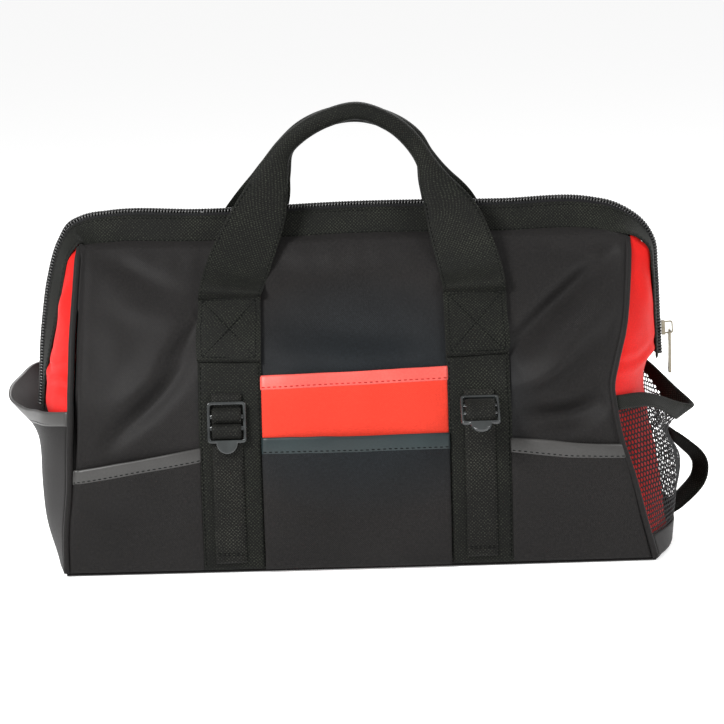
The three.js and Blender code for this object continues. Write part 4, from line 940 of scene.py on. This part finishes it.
def make_mouth():
    for facing, front in ((-1, "front"), (1, "back")):
        w = np.array([0, 0.03, 0.1, 0.25, 0.4, 0.55, 0.7, 0.85, 0.95, 1.0])
        crown = 0.5 * np.sin(np.pi * w)
        points = band_grid(w, crown[None, :], facing)
        uv = stack(w[None, :] * BAND_WIDTH, np.linspace(0, mouth_length, 420)[:, None], 0)[..., :2]
        obj = thick_sheet(f"mouth_webbing_{front}", points, BAND_THICKNESS, black_webbing, "black_webbing",
                          facing > 0, 0.35, uv)
        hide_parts(f"mouth_band_{front}")
        for w_line in (0.12, 0.88):
            line = band_grid([w_line - 0.02, w_line, w_line + 0.02], BAND_THICKNESS + 0.5 * np.sin(np.pi * w_line), facing)
            out = -grid_normals(line, facing < 0)[:, 1]
            out = out * np.sign(np.sum(out * stack(0, facing, 0.4), axis=-1))[:, None]
            stitches("mouth_stitches", line[:, 1], out)
        at, inward = mouth_frame(np.linspace(0, mouth_length, 420))
        rows = [at + stack(0, facing * (COIL_WIDTH * 0.32), 0) + inward * 0.6]
        rows.append(at + stack(0, facing * (COIL_WIDTH / 2 + 1.0), 0) + inward * 1.0)
        rows.append(band_point(np.linspace(0, mouth_length, 420), 0.02, -0.3, facing))
        rows.append(band_point(np.linspace(0, mouth_length, 420), TAPE_TUCK / BAND_WIDTH, -0.5, facing))
        points = np.stack(rows, axis=1)
        obj = sheet(f"zip_cloth_{front}", points, zip_tape, "zip_tape", facing < 0)
        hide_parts(f"zip_tape_{front}")


def make_teeth():
    """Two rows of coil loops that meet in the middle, as one joined piece."""
    place, along, at, _ = along_path(mouth_frame(np.linspace(0, mouth_length, 2000))[0], TOOTH_PITCH)
    inward = mouth_frame(at)[1]
    parts = []
    profile = [(0.2, -1.9, 0.35), (0.35, -2.35, 0.8), (1.1, -2.2, 1.0), (2.0, -1.2, 1.0), (2.7, 0.3, 0.95), (3.0, 1.6, 0.5)]
    for facing in (-1, 1):
        shift = TOOTH_PITCH / 2 if facing > 0 else 0
        middle = place + along * shift
        rings = []
        for reach, sink, wide in profile:
            slant = facing * (reach - 1.5) * 0.32
            centre = middle + along * slant + stack(0 * at, facing * reach, 0 * at) + inward * sink
            ring = []
            for k in range(6):
                turn = 2 * math.pi * k / 6
                spread = unit(inward * 0.6 + stack(0 * at, -facing * 0.8 + 0 * at, 0 * at))
                ring.append(centre + along * (0.85 * wide * math.cos(turn)) + spread * (0.75 * wide * math.sin(turn)))
            rings.append(np.stack(ring + [ring[0]], axis=1))
        cells = np.stack(rings, axis=1)
        count = len(at)
        verts = cells.reshape(-1, 3)
        faces = grid_faces(len(profile), 7, 0, facing > 0)
        faces = (faces[None] + (np.arange(count) * len(profile) * 7)[:, None, None]).reshape(-1, 4)
        parts.append((verts, faces, np.tile([[0.5, 0.5]], (len(verts), 1))))
    obj = new_object("zip_teeth_rows", *join_parts(parts), zip_plastic, "zip_teeth")
    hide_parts("zip_coil")
    line, inward = mouth_frame(np.linspace(0, mouth_length, 500))
    tube("zip_core", bar_rings(line - inward * 0.7, 1.25, 8), zip_tape, "zip_tape")


def strip_grid(x_low, x_high, z_low, z_high, off, facing, across=13, pitch=2.5):
    rows = max(int((z_high - z_low) / pitch), 4)
    z = np.linspace(z_low, z_high, rows)[:, None]
    x = np.linspace(x_low, x_high, across)[None, :]
    return panel_at(x + 0 * z, z + 0 * x, np.full((rows, across), float(off)), facing)


def strap_uv(points, width):
    rows, cols = points.shape[:2]
    v = np.concatenate([[0], np.cumsum(np.linalg.norm(np.diff(points[:, cols // 2], axis=0), axis=-1))])
    return stack(np.linspace(0, width, cols)[None, :], v[:, None], 0)[..., :2]


def make_upright_webbing():
    half = WEBBING_WIDTH / 2
    for facing, front in ((-1, "front"), (1, "back")):
        for where, x in WEBBING_X.items():
            points = strip_grid(x - half, x + half, FOOT, WEBBING_TOP, GAP, facing)
            uv = strap_uv(points, WEBBING_WIDTH)
            obj = thick_sheet(f"strap_{front}_{where}", points, WEBBING_THICKNESS, black_webbing, "black_webbing",
                              facing > 0, 0.35, uv)
            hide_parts(f"webbing_{front}_{where}")
            for edge in (-half + 2.2, half - 2.2):
                z = np.linspace(FOOT + 4, SEWN_BOTTOM - 3, 90)
                line = panel_at(x + edge + 0 * z, z, np.full(90, GAP + WEBBING_THICKNESS), facing)
                stitches("strap_stitches", line, panel_normal(x + edge + 0 * z, z, facing), 4.2)


def handle_section(k, roll):
    turn = 2 * np.pi * k
    half_wide = lerp(WEBBING_WIDTH / 2, GRIP_WIDTH, roll)
    half_thick = lerp(WEBBING_THICKNESS / 2, GRIP_RADIUS, roll)
    square = lerp(0.14, 0.85, min(roll * 1.6, 1))
    c, s = np.cos(turn), np.sin(turn)
    return half_wide * np.sign(c) * np.abs(c) ** square, half_thick * np.sign(s) * np.abs(s) ** square


def make_handle(name, node, facing):
    table = HANDLE[facing]
    last = len(table["x"]) - 1
    sides = 48
    order = np.arange(last + 1)
    off = WEBBING_THICKNESS + GAP + 0.35 + WEBBING_THICKNESS / 2
    sewn = {}
    for where in ("left", "right"):
        z = np.linspace(SEWN_BOTTOM, SEWN_TOP, 18)
        x = np.full(18, float(WEBBING_X[where]))
        sewn[where] = (x, z)
    start = panel_at(np.array(WEBBING_X["left"], float), np.array(float(SEWN_TOP)), np.array(off), facing)
    finish = panel_at(np.array(WEBBING_X["right"], float), np.array(float(SEWN_TOP)), np.array(off), facing)
    grip_y = facing * (GRIP_RADIUS + GRIP_GAP / 2)
    places = np.linspace(0, last, 190)[1:-1]
    value = {key: through(order, table[key], places) for key in ("x", "up", "inward", "roll")}
    first_half = places < last / 2
    shift = np.where(first_half, start[0] - table["x"][0] * HALF_LENGTH, finish[0] - table["x"][last] * HALF_LENGTH)
    path = stack(
        value["x"] * HALF_LENGTH + shift * (1 - value["up"]),
        lerp(np.where(first_half, start[1], finish[1]), grip_y, value["inward"]),
        lerp(SEWN_TOP, HANDLE_RISE[facing] - GRIP_RADIUS, value["up"]),
    )
    knee = KNEE_REACH * np.exp(-(((path[:, 2] - SEWN_TOP - 9) / KNEE_SPREAD) ** 2))
    path = path + stack(0 * knee, facing * knee, 0 * knee)
    full = np.concatenate([start[None], path, finish[None]])
    tangent = unit(np.gradient(full, axis=0))[1:-1]
    wide = unit(np.cross(tangent, [0, facing, 0]))
    thick = unit(np.cross(wide, tangent))
    k = -(np.arange(sides) + 0.5) / sides
    rings = []
    wides = []
    for where in ("left", "right"):
        way = 1 if where == "left" else -1
        x, z = sewn[where]
        block = []
        for xi, zi in zip(x, z):
            a, b = handle_section(k, 0)
            block.append(panel_at(xi - facing * 0 + way * a * 1.0, np.full(sides, zi), off + b, facing))
        sewn[where] = np.array(block)
    sewn_wide = {w: unit(sewn[w][-1][0] - sewn[w][-1][sides // 2]) for w in sewn}
    for i in range(len(path)):
        a, b = handle_section(k, float(np.clip(value["roll"][i], 0, 1)))
        where = "left" if first_half[i] else "right"
        ease = float(smoothstep(0, 0.16, value["up"][i]))
        target = sewn_wide[where]
        if np.dot(target, wide[i]) < 0:
            target = -target
        w = unit(lerp(target, wide[i], ease))
        n = unit(np.cross(w, tangent[i]))
        if np.dot(n, thick[i]) < 0:
            n = -n
        rings.append(path[i] + np.outer(a, w) + np.outer(b, n))
        wides.append((w, n))
    blocks = np.concatenate([sewn["left"], np.array(rings), sewn["right"][::-1]])
    obj = tube(name, blocks, black_webbing, "black_webbing")
    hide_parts(node)
    for edge in (-1, 1):
        line, normals = [], []
        for i in range(len(path)):
            roll = float(value["roll"][i])
            if roll > 0.5:
                continue
            w, n = wides[i]
            half = lerp(WEBBING_WIDTH / 2, GRIP_WIDTH, roll) - 2.2
            line.append(path[i] + w * edge * half + n * (lerp(WEBBING_THICKNESS / 2, GRIP_RADIUS, roll)))
            normals.append(n)
        half_count = sum(1 for i in range(len(path)) if first_half[i] and float(value["roll"][i]) <= 0.5)
        for piece in (slice(0, half_count), slice(half_count, None)):
            if len(line[piece]) > 3:
                stitches("handle_stitches", np.array(line[piece]), np.array(normals[piece]), 4.0)
    for where, x in WEBBING_X.items():
        half = WEBBING_WIDTH / 2 - 4
        low, high = SEWN_BOTTOM + 3, SEWN_TOP - 2
        corners = [(x - half, low), (x + half, low), (x + half, high), (x - half, high), (x - half, low),
                   (x + half, high), None, (x - half, high), (x + half, low)]
        runs, run = [], []
        for corner in corners:
            if corner is None:
                runs.append(run)
                run = []
            else:
                run.append(corner)
        runs.append(run)
        for run in runs:
            for (x0, z0), (x1, z1) in zip(run[:-1], run[1:]):
                f = np.linspace(0, 1, 30)
                px, pz = lerp(x0, x1, f), lerp(z0, z1, f)
                line = panel_at(px, pz, np.full(30, off + WEBBING_THICKNESS / 2), facing)
                stitches("handle_stitches", line, panel_normal(px, pz, facing), 3.4, 2.6, 0.85)


def pocket_grid(zone, rim, gape, off, h_low, h_high, rows=40, cols=60):
    """A loose wall over the front between two shares of its rim's height."""
    f = np.linspace(0, 1, cols)[None, :]
    h = lerp(h_low, h_high, np.linspace(0, 1, rows)[:, None])
    rim_z = rim(f)
    z = lerp(FOOT, rim_z, h)
    t = z / BODY_HEIGHT
    left, right = zone(t, f)
    x = lerp(left, right, f + 0 * z)
    sides = np.clip(np.minimum(f, 1 - f) / 0.06, 0, 1)
    stand = off + 0.9 * np.sin(np.pi * np.clip(h, 0, 1)) * sides + gape * h ** 3 * np.sin(np.pi * f) ** 0.8
    return panel_at(x, z + 0 * x, stand + 0 * x, -1)


def outer_zone(side):
    def zone(t, f):
        seam = seam_point(side, np.clip(t, 0, 1), -1)[..., 0] - side * (PIPING_RADIUS + 0.2)
        edge = WEBBING_X["left" if side < 0 else "right"] + side * WEBBING_WIDTH / 2
        edge = edge - side * 1.0
        return (seam, edge) if side < 0 else (edge, seam)
    return zone


def centre_zone(t, f):
    half = WEBBING_WIDTH / 2 - 1.0
    return WEBBING_X["left"] + half + 0 * t, WEBBING_X["right"] - half + 0 * t


def make_slip_pocket(name, zone, rim, gape, off, binding, cloth_look, cloth_slot, trim_look, trim_slot, thread):
    f = np.linspace(0, 1, 60)[None, :]
    below = 1 - binding * 0.75 / (rim(f) - FOOT)
    points = pocket_grid(zone, rim, gape, off, 0.0, below)
    obj = thick_sheet(f"{name}_wall", points, POCKET_WALL, cloth_look, cloth_slot)
    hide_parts(name)
    start = 1 - binding / (rim(f) - FOOT)
    points = pocket_grid(zone, rim, gape, off - 0.25, start, 1.0, 12)
    wide = POCKET_WALL + 0.5 + 0.5 * np.sin(np.pi * np.linspace(0, 1, 12))[:, None] ** 0.5
    obj = thick_sheet(f"{name}_trim", points, wide, trim_look, trim_slot)
    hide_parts(f"{name}_binding")
    low = 1 - (binding - 2.0) / (rim(f) - FOOT)
    high = 1 - (binding - 2.4) / (rim(f) - FOOT)
    line = pocket_grid(zone, rim, gape, off + POCKET_WALL + 0.75, low, high, 2)
    z = line[0, :, 2]
    stitches(thread, line[0], panel_normal(line[0, :, 0], z, -1), 4.6, 3.0)


def sag(low, high, drop):
    return lambda f: lerp(low, high, f) - drop * np.sin(np.pi * f)


def tucked_zone(t, f):
    """The centre zone, with its edges drawn in where the centre pocket covers them."""
    left, right = centre_zone(t, f)
    tuck = RED_TUCK * (1 - smoothstep(0.32, 0.36, t))
    return left + tuck, right - tuck


def make_front_pockets():
    make_slip_pocket("red_pocket", tucked_zone, sag(163, 167, 0), 2, GAP, 11.5, orange_cloth, "red_nylon",
                     red_binding, "red_binding", "red_stitches")
    make_slip_pocket("centre_pocket", centre_zone, sag(114, 114, 0), 5, 2.2, 13.5, black_cloth,
                     "black_nylon", teal_binding, "grey_binding", "grey_stitches")
    make_slip_pocket("left_slip_pocket", outer_zone(-1), sag(90, 107, 0), 5, GAP, BINDING_HEIGHT, black_cloth,
                     "black_nylon", grey_binding, "grey_binding", "grey_stitches")
    make_slip_pocket("right_slip_pocket", outer_zone(1), sag(108, 100, 1), 5, GAP, BINDING_HEIGHT, black_cloth,
                     "black_nylon", grey_binding, "grey_binding", "grey_stitches")


def end_surface(side, t, across):
    """The end panel without its folds, at share t of its height and a signed share of its depth."""
    facing = np.where(across < 0, -1, 1)
    low = np.minimum(t, end_share(side) - 0.001)
    seam_low = seam_point(side, low, 1)
    end_y = abs(band_point(np.array(mouth_end[side]), EDGE_W, 0, -1)[1])
    inner_y = np.minimum(end_y, np.abs(seam_low[..., 1]) * 0.6)
    y = np.abs(across) * seam_low[..., 1]
    middle_x = side * HALF_LENGTH * through(END["t"], END[side], low)
    inner_x = lerp(seam_low[..., 0], middle_x, 0.93)
    along = np.clip((seam_low[..., 1] - y) / (seam_low[..., 1] - inner_y), 0, 1)
    bulge = 0.045 * HALF_DEPTH * np.sin(np.pi * along) * smoothstep(1.02, 0.8, low)
    outer_x = lerp(seam_low[..., 0], inner_x, along) + side * bulge
    far = np.clip(1 - y / inner_y, 0, 1)
    x = np.where(y > inner_y, outer_x, lerp(inner_x, middle_x, 1 - (1 - far) ** 2))
    here = seam_point(side, t, 1)
    return stack(x + here[..., 0] - seam_low[..., 0], across * here[..., 1], here[..., 2])


def pocket_surface(side, a, h, off):
    """A point of an end pocket: a across from -1 to 1, h up to its rim, off its inner face."""
    rim, slack = RIM[side], SLACK[side]
    rim_z = BODY_HEIGHT * through(rim["across"], rim["z"], a)
    rim_out = HALF_LENGTH * through(rim["across"], rim["out"], a)
    z = lerp(FOOT, rim_z, h)
    t = (z - FOOT) / (seam_top[side][2] - FOOT)
    base = end_surface(side, t, a * 0.988)
    loose = HALF_LENGTH * through(slack["h"], slack["slack"], h) * (1 - np.abs(a) ** 3)
    flare = through(slack["h"], slack["flare"], h)
    stand = 1.1 + loose + rim_out * flare + off
    return base + stack(side * stand, 0 * stand, 0 * stand)


def pocket_patch(side, a_list, h_low, h_high, rows, off=0.0):
    a = np.asarray(a_list)[None, :]
    h = lerp(h_low, h_high, np.linspace(0, 1, rows)[:, None])
    a, h = np.broadcast_arrays(a, h)
    wave = 1.3 * np.sin(a * 9 + 2 * h) * np.sin(np.pi * np.clip(h, 0, 1)) * (1 - np.abs(a) ** 4)
    return pocket_surface(side, a, h, off + wave)


def make_left_pocket():
    a = np.linspace(-1, 1, 120)
    rim_z = BODY_HEIGHT * through(RIM[-1]["across"], RIM[-1]["z"], a)[None, :]
    share = lambda down: 1 - down / (rim_z - FOOT)
    points = pocket_patch(-1, a, 0.0, share(9), 60)
    obj = thick_sheet("left_pocket_wall", points, END_WALL, black_cloth, "black_nylon", True)
    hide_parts("left_end_pocket")
    points = pocket_patch(-1, a, share(BINDING_HEIGHT), share(0), 14, -0.3)
    wide = END_WALL + 0.6 + 0.5 * np.sin(np.pi * np.linspace(0, 1, 14))[:, None] ** 0.5
    obj = thick_sheet("left_pocket_trim", points, wide, grey_binding, "grey_binding", True)
    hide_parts("left_end_pocket_binding")
    # A black sheet over the inner faces of the pocket's rim and wall, hiding the grey binding's inside: painted shade
    # of the pocket's inside.
    points = pocket_patch(-1, a, share(34), share(0.9), 16, -0.9)
    sheet("left_pocket_painted_shade", points, black_cloth, "black_nylon", False)
    line = pocket_patch(-1, a, share(BINDING_HEIGHT - 2), share(BINDING_HEIGHT - 2.4), 2, END_WALL + 0.9)
    normal = grid_normals(pocket_patch(-1, a, share(BINDING_HEIGHT), share(6), 3), True)[1]
    stitches("grey_stitches", line[0], normal, 4.6, 3.0)


def make_net():
    """A net of six-sided cells laid on the pocket's surface, with black cloth below and a bound rim."""
    a_fine = np.linspace(-1, 1, 400)
    rim_z = lambda a: BODY_HEIGHT * through(RIM[1]["across"], RIM[1]["z"], a)
    mid = pocket_surface(1, a_fine, np.full(400, 0.5), 0)
    length = np.concatenate([[0], np.cumsum(np.linalg.norm(np.diff(mid, axis=0), axis=-1))])
    columns = int(length[-1] / NET_CELL)
    tall = NET_CELL * 0.866
    rows = int((max(rim_z(a_fine)) - FOOT_HEIGHT) / tall) + 1
    corners = [(0.5, 0.29), (0, 0.577), (-0.5, 0.29), (-0.5, -0.29), (0, -0.577), (0.5, -0.29)]
    hole = 1 - NET_THREAD / NET_CELL
    centres = []
    for r in range(rows):
        for c in range(columns):
            s = (c + 0.5 + 0.5 * (r % 2)) * NET_CELL
            z = FOOT_HEIGHT + (r + 0.3) * tall
            if s > length[-1] - 1:
                continue
            a = np.interp(s, length, a_fine)
            if z > rim_z(a) - BINDING_HEIGHT * 0.5:
                continue
            centres.append((s, z))
    centres = np.array(centres)
    outer = np.array(corners) * [NET_CELL, NET_CELL]
    rings = []
    for scale, sink in ((1.0, 0.0), (lerp(hole, 1, 0.35), 0.28), (hole, 0.0)):
        s = np.clip(centres[:, None, 0] + outer[None, :, 0] * scale, 0.3, length[-1] - 0.3)
        z = centres[:, None, 1] + outer[None, :, 1] * scale
        a = np.interp(s, length, a_fine)
        h = (z - FOOT) / (rim_z(a) - FOOT)
        wave = 1.0 * np.sin(a * 11 + 3 * h) * np.sin(np.pi * np.clip(h, 0, 1))
        rings.append(pocket_surface(1, a, h, 0.3 + sink + wave))
    rings = np.stack(rings, axis=1)
    count = len(centres)
    faces = []
    for ring in range(2):
        for k in range(6):
            a0, a1 = ring * 6 + k, ring * 6 + (k + 1) % 6
            faces.append([a0, a1, a1 + 6, a0 + 6])
    faces = np.array(faces)[:, ::-1]
    faces = (faces[None] + (np.arange(count) * 18)[:, None, None]).reshape(-1, 4)
    verts = rings.reshape(-1, 3)
    obj = new_object("net", verts, faces, verts[:, 1:], net_thread, "black_mesh")
    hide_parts("mesh_pocket")
    a = np.linspace(-1, 1, 110)
    share = lambda z: (z - FOOT) / (rim_z(a)[None, :] - FOOT)
    points = pocket_patch(1, a, 0.0, share(FOOT_HEIGHT + 2), 12)
    obj = thick_sheet("net_foot", points, END_WALL, black_cloth, "black_nylon", False)
    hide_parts("mesh_pocket_foot")
    top = rim_z(a)[None, :]
    points = pocket_patch(1, a, share(top - BINDING_HEIGHT), share(top), 12, -0.3)
    wide = END_WALL + 0.6 + 0.4 * np.sin(np.pi * np.linspace(0, 1, 12))[:, None] ** 0.5
    obj = thick_sheet("net_trim", points, wide, black_webbing, "black_webbing", False)
    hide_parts("mesh_pocket_binding")
    line = pocket_patch(1, a, share(top - BINDING_HEIGHT + 2), share(top - BINDING_HEIGHT + 2.4), 2, END_WALL + 0.8)
    normal = grid_normals(pocket_patch(1, a, share(top - BINDING_HEIGHT), share(top - 4), 3))[1]
    stitches("mouth_stitches", line[0], normal, 4.2)


def loop_face(z):
    y = np.linspace(LOOP_Y - LOOP_WIDTH / 2, LOOP_Y + LOOP_WIDTH / 2, 5)
    a = y / (HALF_DEPTH * 0.97)
    rim_z = BODY_HEIGHT * through(RIM[1]["across"], RIM[1]["z"], a)
    return float(np.max(pocket_surface(1, a, (z - FOOT) / (rim_z - FOOT), END_WALL)[..., 0])) + GAP


def make_loop():
    height = LOOP_TOP - LOOP_BOTTOM
    tip, foot = loop_face(LOOP_TOP), loop_face(LOOP_BOTTOM)
    line = [
        (loop_face(LOOP_TOP + LOOP_TAB), LOOP_TOP + LOOP_TAB),
        (loop_face(LOOP_TOP + LOOP_TAB / 2), LOOP_TOP + LOOP_TAB / 2),
        (tip + 1, LOOP_TOP),
        (tip + LOOP_REACH * 0.45, LOOP_TOP - height * 0.14),
        (tip + LOOP_REACH * 0.86, LOOP_TOP - height * 0.3),
        (tip + LOOP_REACH, LOOP_TOP - height * 0.46),
        (tip + LOOP_REACH * 0.85, LOOP_TOP - height * 0.68),
        (foot + LOOP_REACH * 0.35, LOOP_BOTTOM + height * 0.06),
        (loop_face(LOOP_BOTTOM - LOOP_TAB / 2), LOOP_BOTTOM - LOOP_TAB / 2),
        (loop_face(LOOP_BOTTOM - LOOP_TAB), LOOP_BOTTOM - LOOP_TAB),
    ]
    path = smooth_line(line, 80)
    y = np.linspace(-LOOP_WIDTH / 2, LOOP_WIDTH / 2, 9)
    tangent = unit(np.gradient(path, axis=0))
    turn = LOOP_TWIST * np.sin(np.pi * np.linspace(0, 1, 80)) ** 0.6
    swing = y[None, :] * np.sin(turn)[:, None]
    points = stack(
        path[:, None, 0] + tangent[:, None, 1] * swing,
        LOOP_Y + y[None, :] * np.cos(turn)[:, None],
        path[:, None, 1] - tangent[:, None, 0] * swing,
    )
    uv = strap_uv(points, LOOP_WIDTH)
    obj = thick_sheet("webbing_loop", points, 1.6, black_webbing, "black_webbing", True, 0.35, uv)
    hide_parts("end_loop")


def bevelled_plate(name, outline_loops, depth, bevel, matrix, material):
    """A plate from an outline and its holes, with rounded edges."""
    curve = bpy.data.curves.new(name, "CURVE")
    curve.dimensions = "2D"
    curve.fill_mode = "BOTH"
    curve.extrude = depth / 2 * MM - bevel * MM
    curve.bevel_depth = bevel * MM
    curve.bevel_resolution = 3
    curve.offset = -bevel * MM
    for loop in outline_loops:
        spline = curve.splines.new("POLY")
        spline.points.add(len(loop) - 1)
        for point, (x, y) in zip(spline.points, loop):
            point.co = (x * MM, y * MM, 0, 1)
        spline.use_cyclic_u = True
    shape = bpy.data.objects.new(name + "_outline", curve)
    bpy.context.scene.collection.objects.link(shape)
    graph = bpy.context.evaluated_depsgraph_get()
    mesh = bpy.data.meshes.new_from_object(shape.evaluated_get(graph))
    bpy.data.objects.remove(shape)
    mesh.transform(matrix)
    mesh.name = name
    mesh.materials.clear()
    mesh.materials.append(material)
    obj = bpy.data.objects.new(name, mesh)
    bpy.context.scene.collection.objects.link(obj)
    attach(obj, "bag")
    return obj


def rounded_box(x, y, width, height, radius, steps=5):
    points = []
    for k, (sx, sy) in enumerate(((1, 1), (-1, 1), (-1, -1), (1, -1))):
        for i in range(steps + 1):
            turn = math.pi / 2 * (k + i / steps)
            points.append((
                x + sx * (width / 2 - radius) + radius * math.cos(turn),
                y + sy * (height / 2 - radius) + radius * math.sin(turn),
            ))
    return points


def lock_outline():
    w, r = LOCK_WIDTH / 2, 3
    points = []
    for k, (cx, cy) in enumerate(((w - r, -r), (-w + r, -r), (-w + r, -LOCK_HEIGHT + r))):
        for i in range(6):
            turn = math.pi / 2 * (k + i / 5)
            points.append((cx + r * math.cos(turn), cy + r * math.sin(turn)))
    for i in range(13):
        turn = math.pi * (1 + i / 12)
        points.append((w * 0.55 * math.cos(turn), -LOCK_HEIGHT + LOCK_TAB * math.sin(turn)))
    for i in range(6):
        turn = math.pi / 2 * (3 + i / 5)
        points.append((w - r + r * math.cos(turn), -LOCK_HEIGHT + r + r * math.sin(turn)))
    return points


def make_lock(where, top_z, tilt, shift):
    x = WEBBING_X[where] + shift
    off = WEBBING_THICKNESS + 2 * GAP + STRAP_THICKNESS + 2 * GAP
    top = panel_at(np.array(x, float), np.array(float(top_z)), np.array(off), -1)
    low = panel_at(np.array(x, float), np.array(float(top_z - LOCK_HEIGHT)), np.array(off), -1)
    slope = math.atan2(low[1] - top[1], top[2] - low[2])
    turn = math.pi / 2 + slope - math.radians(tilt)
    matrix = Matrix.Translation(Vector(top) * MM) @ Matrix.Rotation(turn, 4, "X")
    lift = Matrix.Translation((0, 0, 1.5 * MM))
    rail = 2.5
    inside = LOCK_WIDTH - 2 * rail
    opening = rounded_box(0, -LOCK_HEIGHT / 2, inside, LOCK_HEIGHT - 2 * rail, 1.2)
    frame_plate = bevelled_plate(f"lock_frame_{where}", [lock_outline(), opening], 3.2, 0.9, matrix @ lift,
                                 plastic)
    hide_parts(f"ladder_lock_{where}")
    for k, y in enumerate((-LOCK_HEIGHT * 0.36, -LOCK_HEIGHT * 0.64)):
        bar = [(-inside / 2 - 0.5, y - 1.6), (inside / 2 + 0.5, y - 1.6), (inside / 2 + 0.5, y + 1.6), (-inside / 2 - 0.5, y + 1.6)]
        bevelled_plate(f"lock_bar_{where}_{k}", [bar], 3.0, 0.8, matrix @ lift, plastic)
    return matrix


def ribbon_through_lock(name, where, matrix, profile, width, shift_x=0.0):
    """Webbing that runs along a profile of (y, z) points in the lock's own plane."""
    path = smooth_line(profile, 60)
    x = np.linspace(-width / 2, width / 2, 9)
    points = stack(x[None, :] + shift_x, path[:, None, 0], path[:, None, 1])
    flat = points.reshape(-1, 3) * MM
    m = np.array(matrix)
    world = (flat @ m[:3, :3].T + m[:3, 3]) / MM
    points = world.reshape(points.shape)
    return thick_sheet(name, points, 1.3, strap_webbing, "black_webbing", True, 0.35, strap_uv(points, width))


def make_cinch(where, top_z, tilt, shift):
    x = WEBBING_X[where] + shift
    half = STRAP_WIDTH / 2
    off = WEBBING_THICKNESS + 2 * GAP
    points = strip_grid(x - half, x + half, top_z - 5, top_z + 6.5, off, -1, 9, 1)
    rise = 1.6 * np.sin(np.pi * np.linspace(0, 1, len(points))) ** 0.7
    points = points + stack(0, -rise[:, None], 0)
    obj = thick_sheet(f"upper_strap_{where}", points, STRAP_THICKNESS, strap_webbing, "black_webbing", False, 0.35,
                      strap_uv(points, STRAP_WIDTH))
    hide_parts(f"anchor_strap_{where}")
    points = strip_grid(x - half, x + half, 10, top_z - LOCK_HEIGHT * 0.62, off, -1, 9, 2)
    obj = thick_sheet(f"tail_strap_{where}", points, STRAP_THICKNESS, strap_webbing, "black_webbing", False, 0.35,
                      strap_uv(points, STRAP_WIDTH))
    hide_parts(f"cinch_strap_{where}")
    for z in (10 + TAIL_HEM, 10 + TAIL_HEM + 1.6):
        px = np.linspace(x - half + 1.5, x + half - 1.5, 20)
        line = panel_at(px, np.full(20, z), np.full(20, off + STRAP_THICKNESS), -1)
        stitches("strap_stitches", line, panel_normal(px, np.full(20, z), -1), 3.2)
    matrix = make_lock(where, top_z, tilt, shift)
    ribbon_through_lock(f"bar_wrap_{where}", where, matrix, BAR_WRAP[where], STRAP_WIDTH - 1)


def finish_zip_metal():
    for node in ("zip_slider", "zip_pull"):
        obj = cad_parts[node]
        obj.data.materials.clear()
        obj.data.materials.append(metal)


def light(name, location, target, size, energy, color=(1, 1, 1)):
    data = bpy.data.lights.new(name, "AREA")
    data.shape = "RECTANGLE"
    data.size, data.size_y = size
    data.energy = energy
    data.color = color
    obj = bpy.data.objects.new(name, data)
    obj.location = location
    obj.rotation_euler = (Vector(target) - Vector(location)).to_track_quat("-Z", "Y").to_euler()
    bpy.context.scene.collection.objects.link(obj)


def make_stage():
    mesh = bpy.data.meshes.new("floor")
    reach = 24.0
    mesh.from_pydata([(-reach, -reach, 0), (reach, -reach, 0), (reach, reach, 0), (-reach, reach, 0)], [], [(0, 1, 2, 3)])
    floor = bpy.data.objects.new("floor", mesh)
    bpy.context.scene.collection.objects.link(floor)
    n = Nodes("pale_floor", (0.93, 0.93, 0.93), 0.9, specular=0.0)
    n.shader.inputs["Emission Color"].default_value = (1, 1, 1, 1)
    n.shader.inputs["Emission Strength"].default_value = FLOOR_GLOW
    mesh.materials.append(n.material)
    world = bpy.data.worlds.new("soft_white")
    bpy.context.scene.world = world
    world.use_nodes = True
    world.node_tree.nodes["Background"].inputs["Color"].default_value = (1, 1, 1, 1)
    world.node_tree.nodes["Background"].inputs["Strength"].default_value = SKY_STRENGTH
    bpy.context.scene.view_settings.view_transform = "Standard"
    light("key_light", (-1.3, -1.2, 1.5), (0, 0, 0.12), (0.7, 0.5), 62)
    light("side_light", (1.5, -0.8, 1.3), (0.1, 0, 0.15), (0.7, 0.7), 19)
    light("back_light", (0.2, 1.5, 1.5), (0, 0, 0.15), (1.4, 0.8), 30)


place_camera()
make_walls()
make_ends()
make_base()
make_piping()
make_mouth()
make_teeth()
make_upright_webbing()
make_handle("carry_handle_front", "front_handle", -1)
make_handle("carry_handle_back", "back_handle", 1)
make_front_pockets()
make_left_pocket()
make_net()
make_loop()
make_cinch("left", 143, 0, -3)
make_cinch("right", 141, 50, 0)
finish_zip_metal()
build_stitches({
    "mouth_stitches": (thread_black, "black_webbing"),
    "strap_stitches": (thread_black, "black_webbing"),
    "handle_stitches": (thread_black, "black_webbing"),
    "grey_stitches": (thread_grey, "grey_binding"),
    "red_stitches": (thread_red, "red_binding"),
})
make_stage()
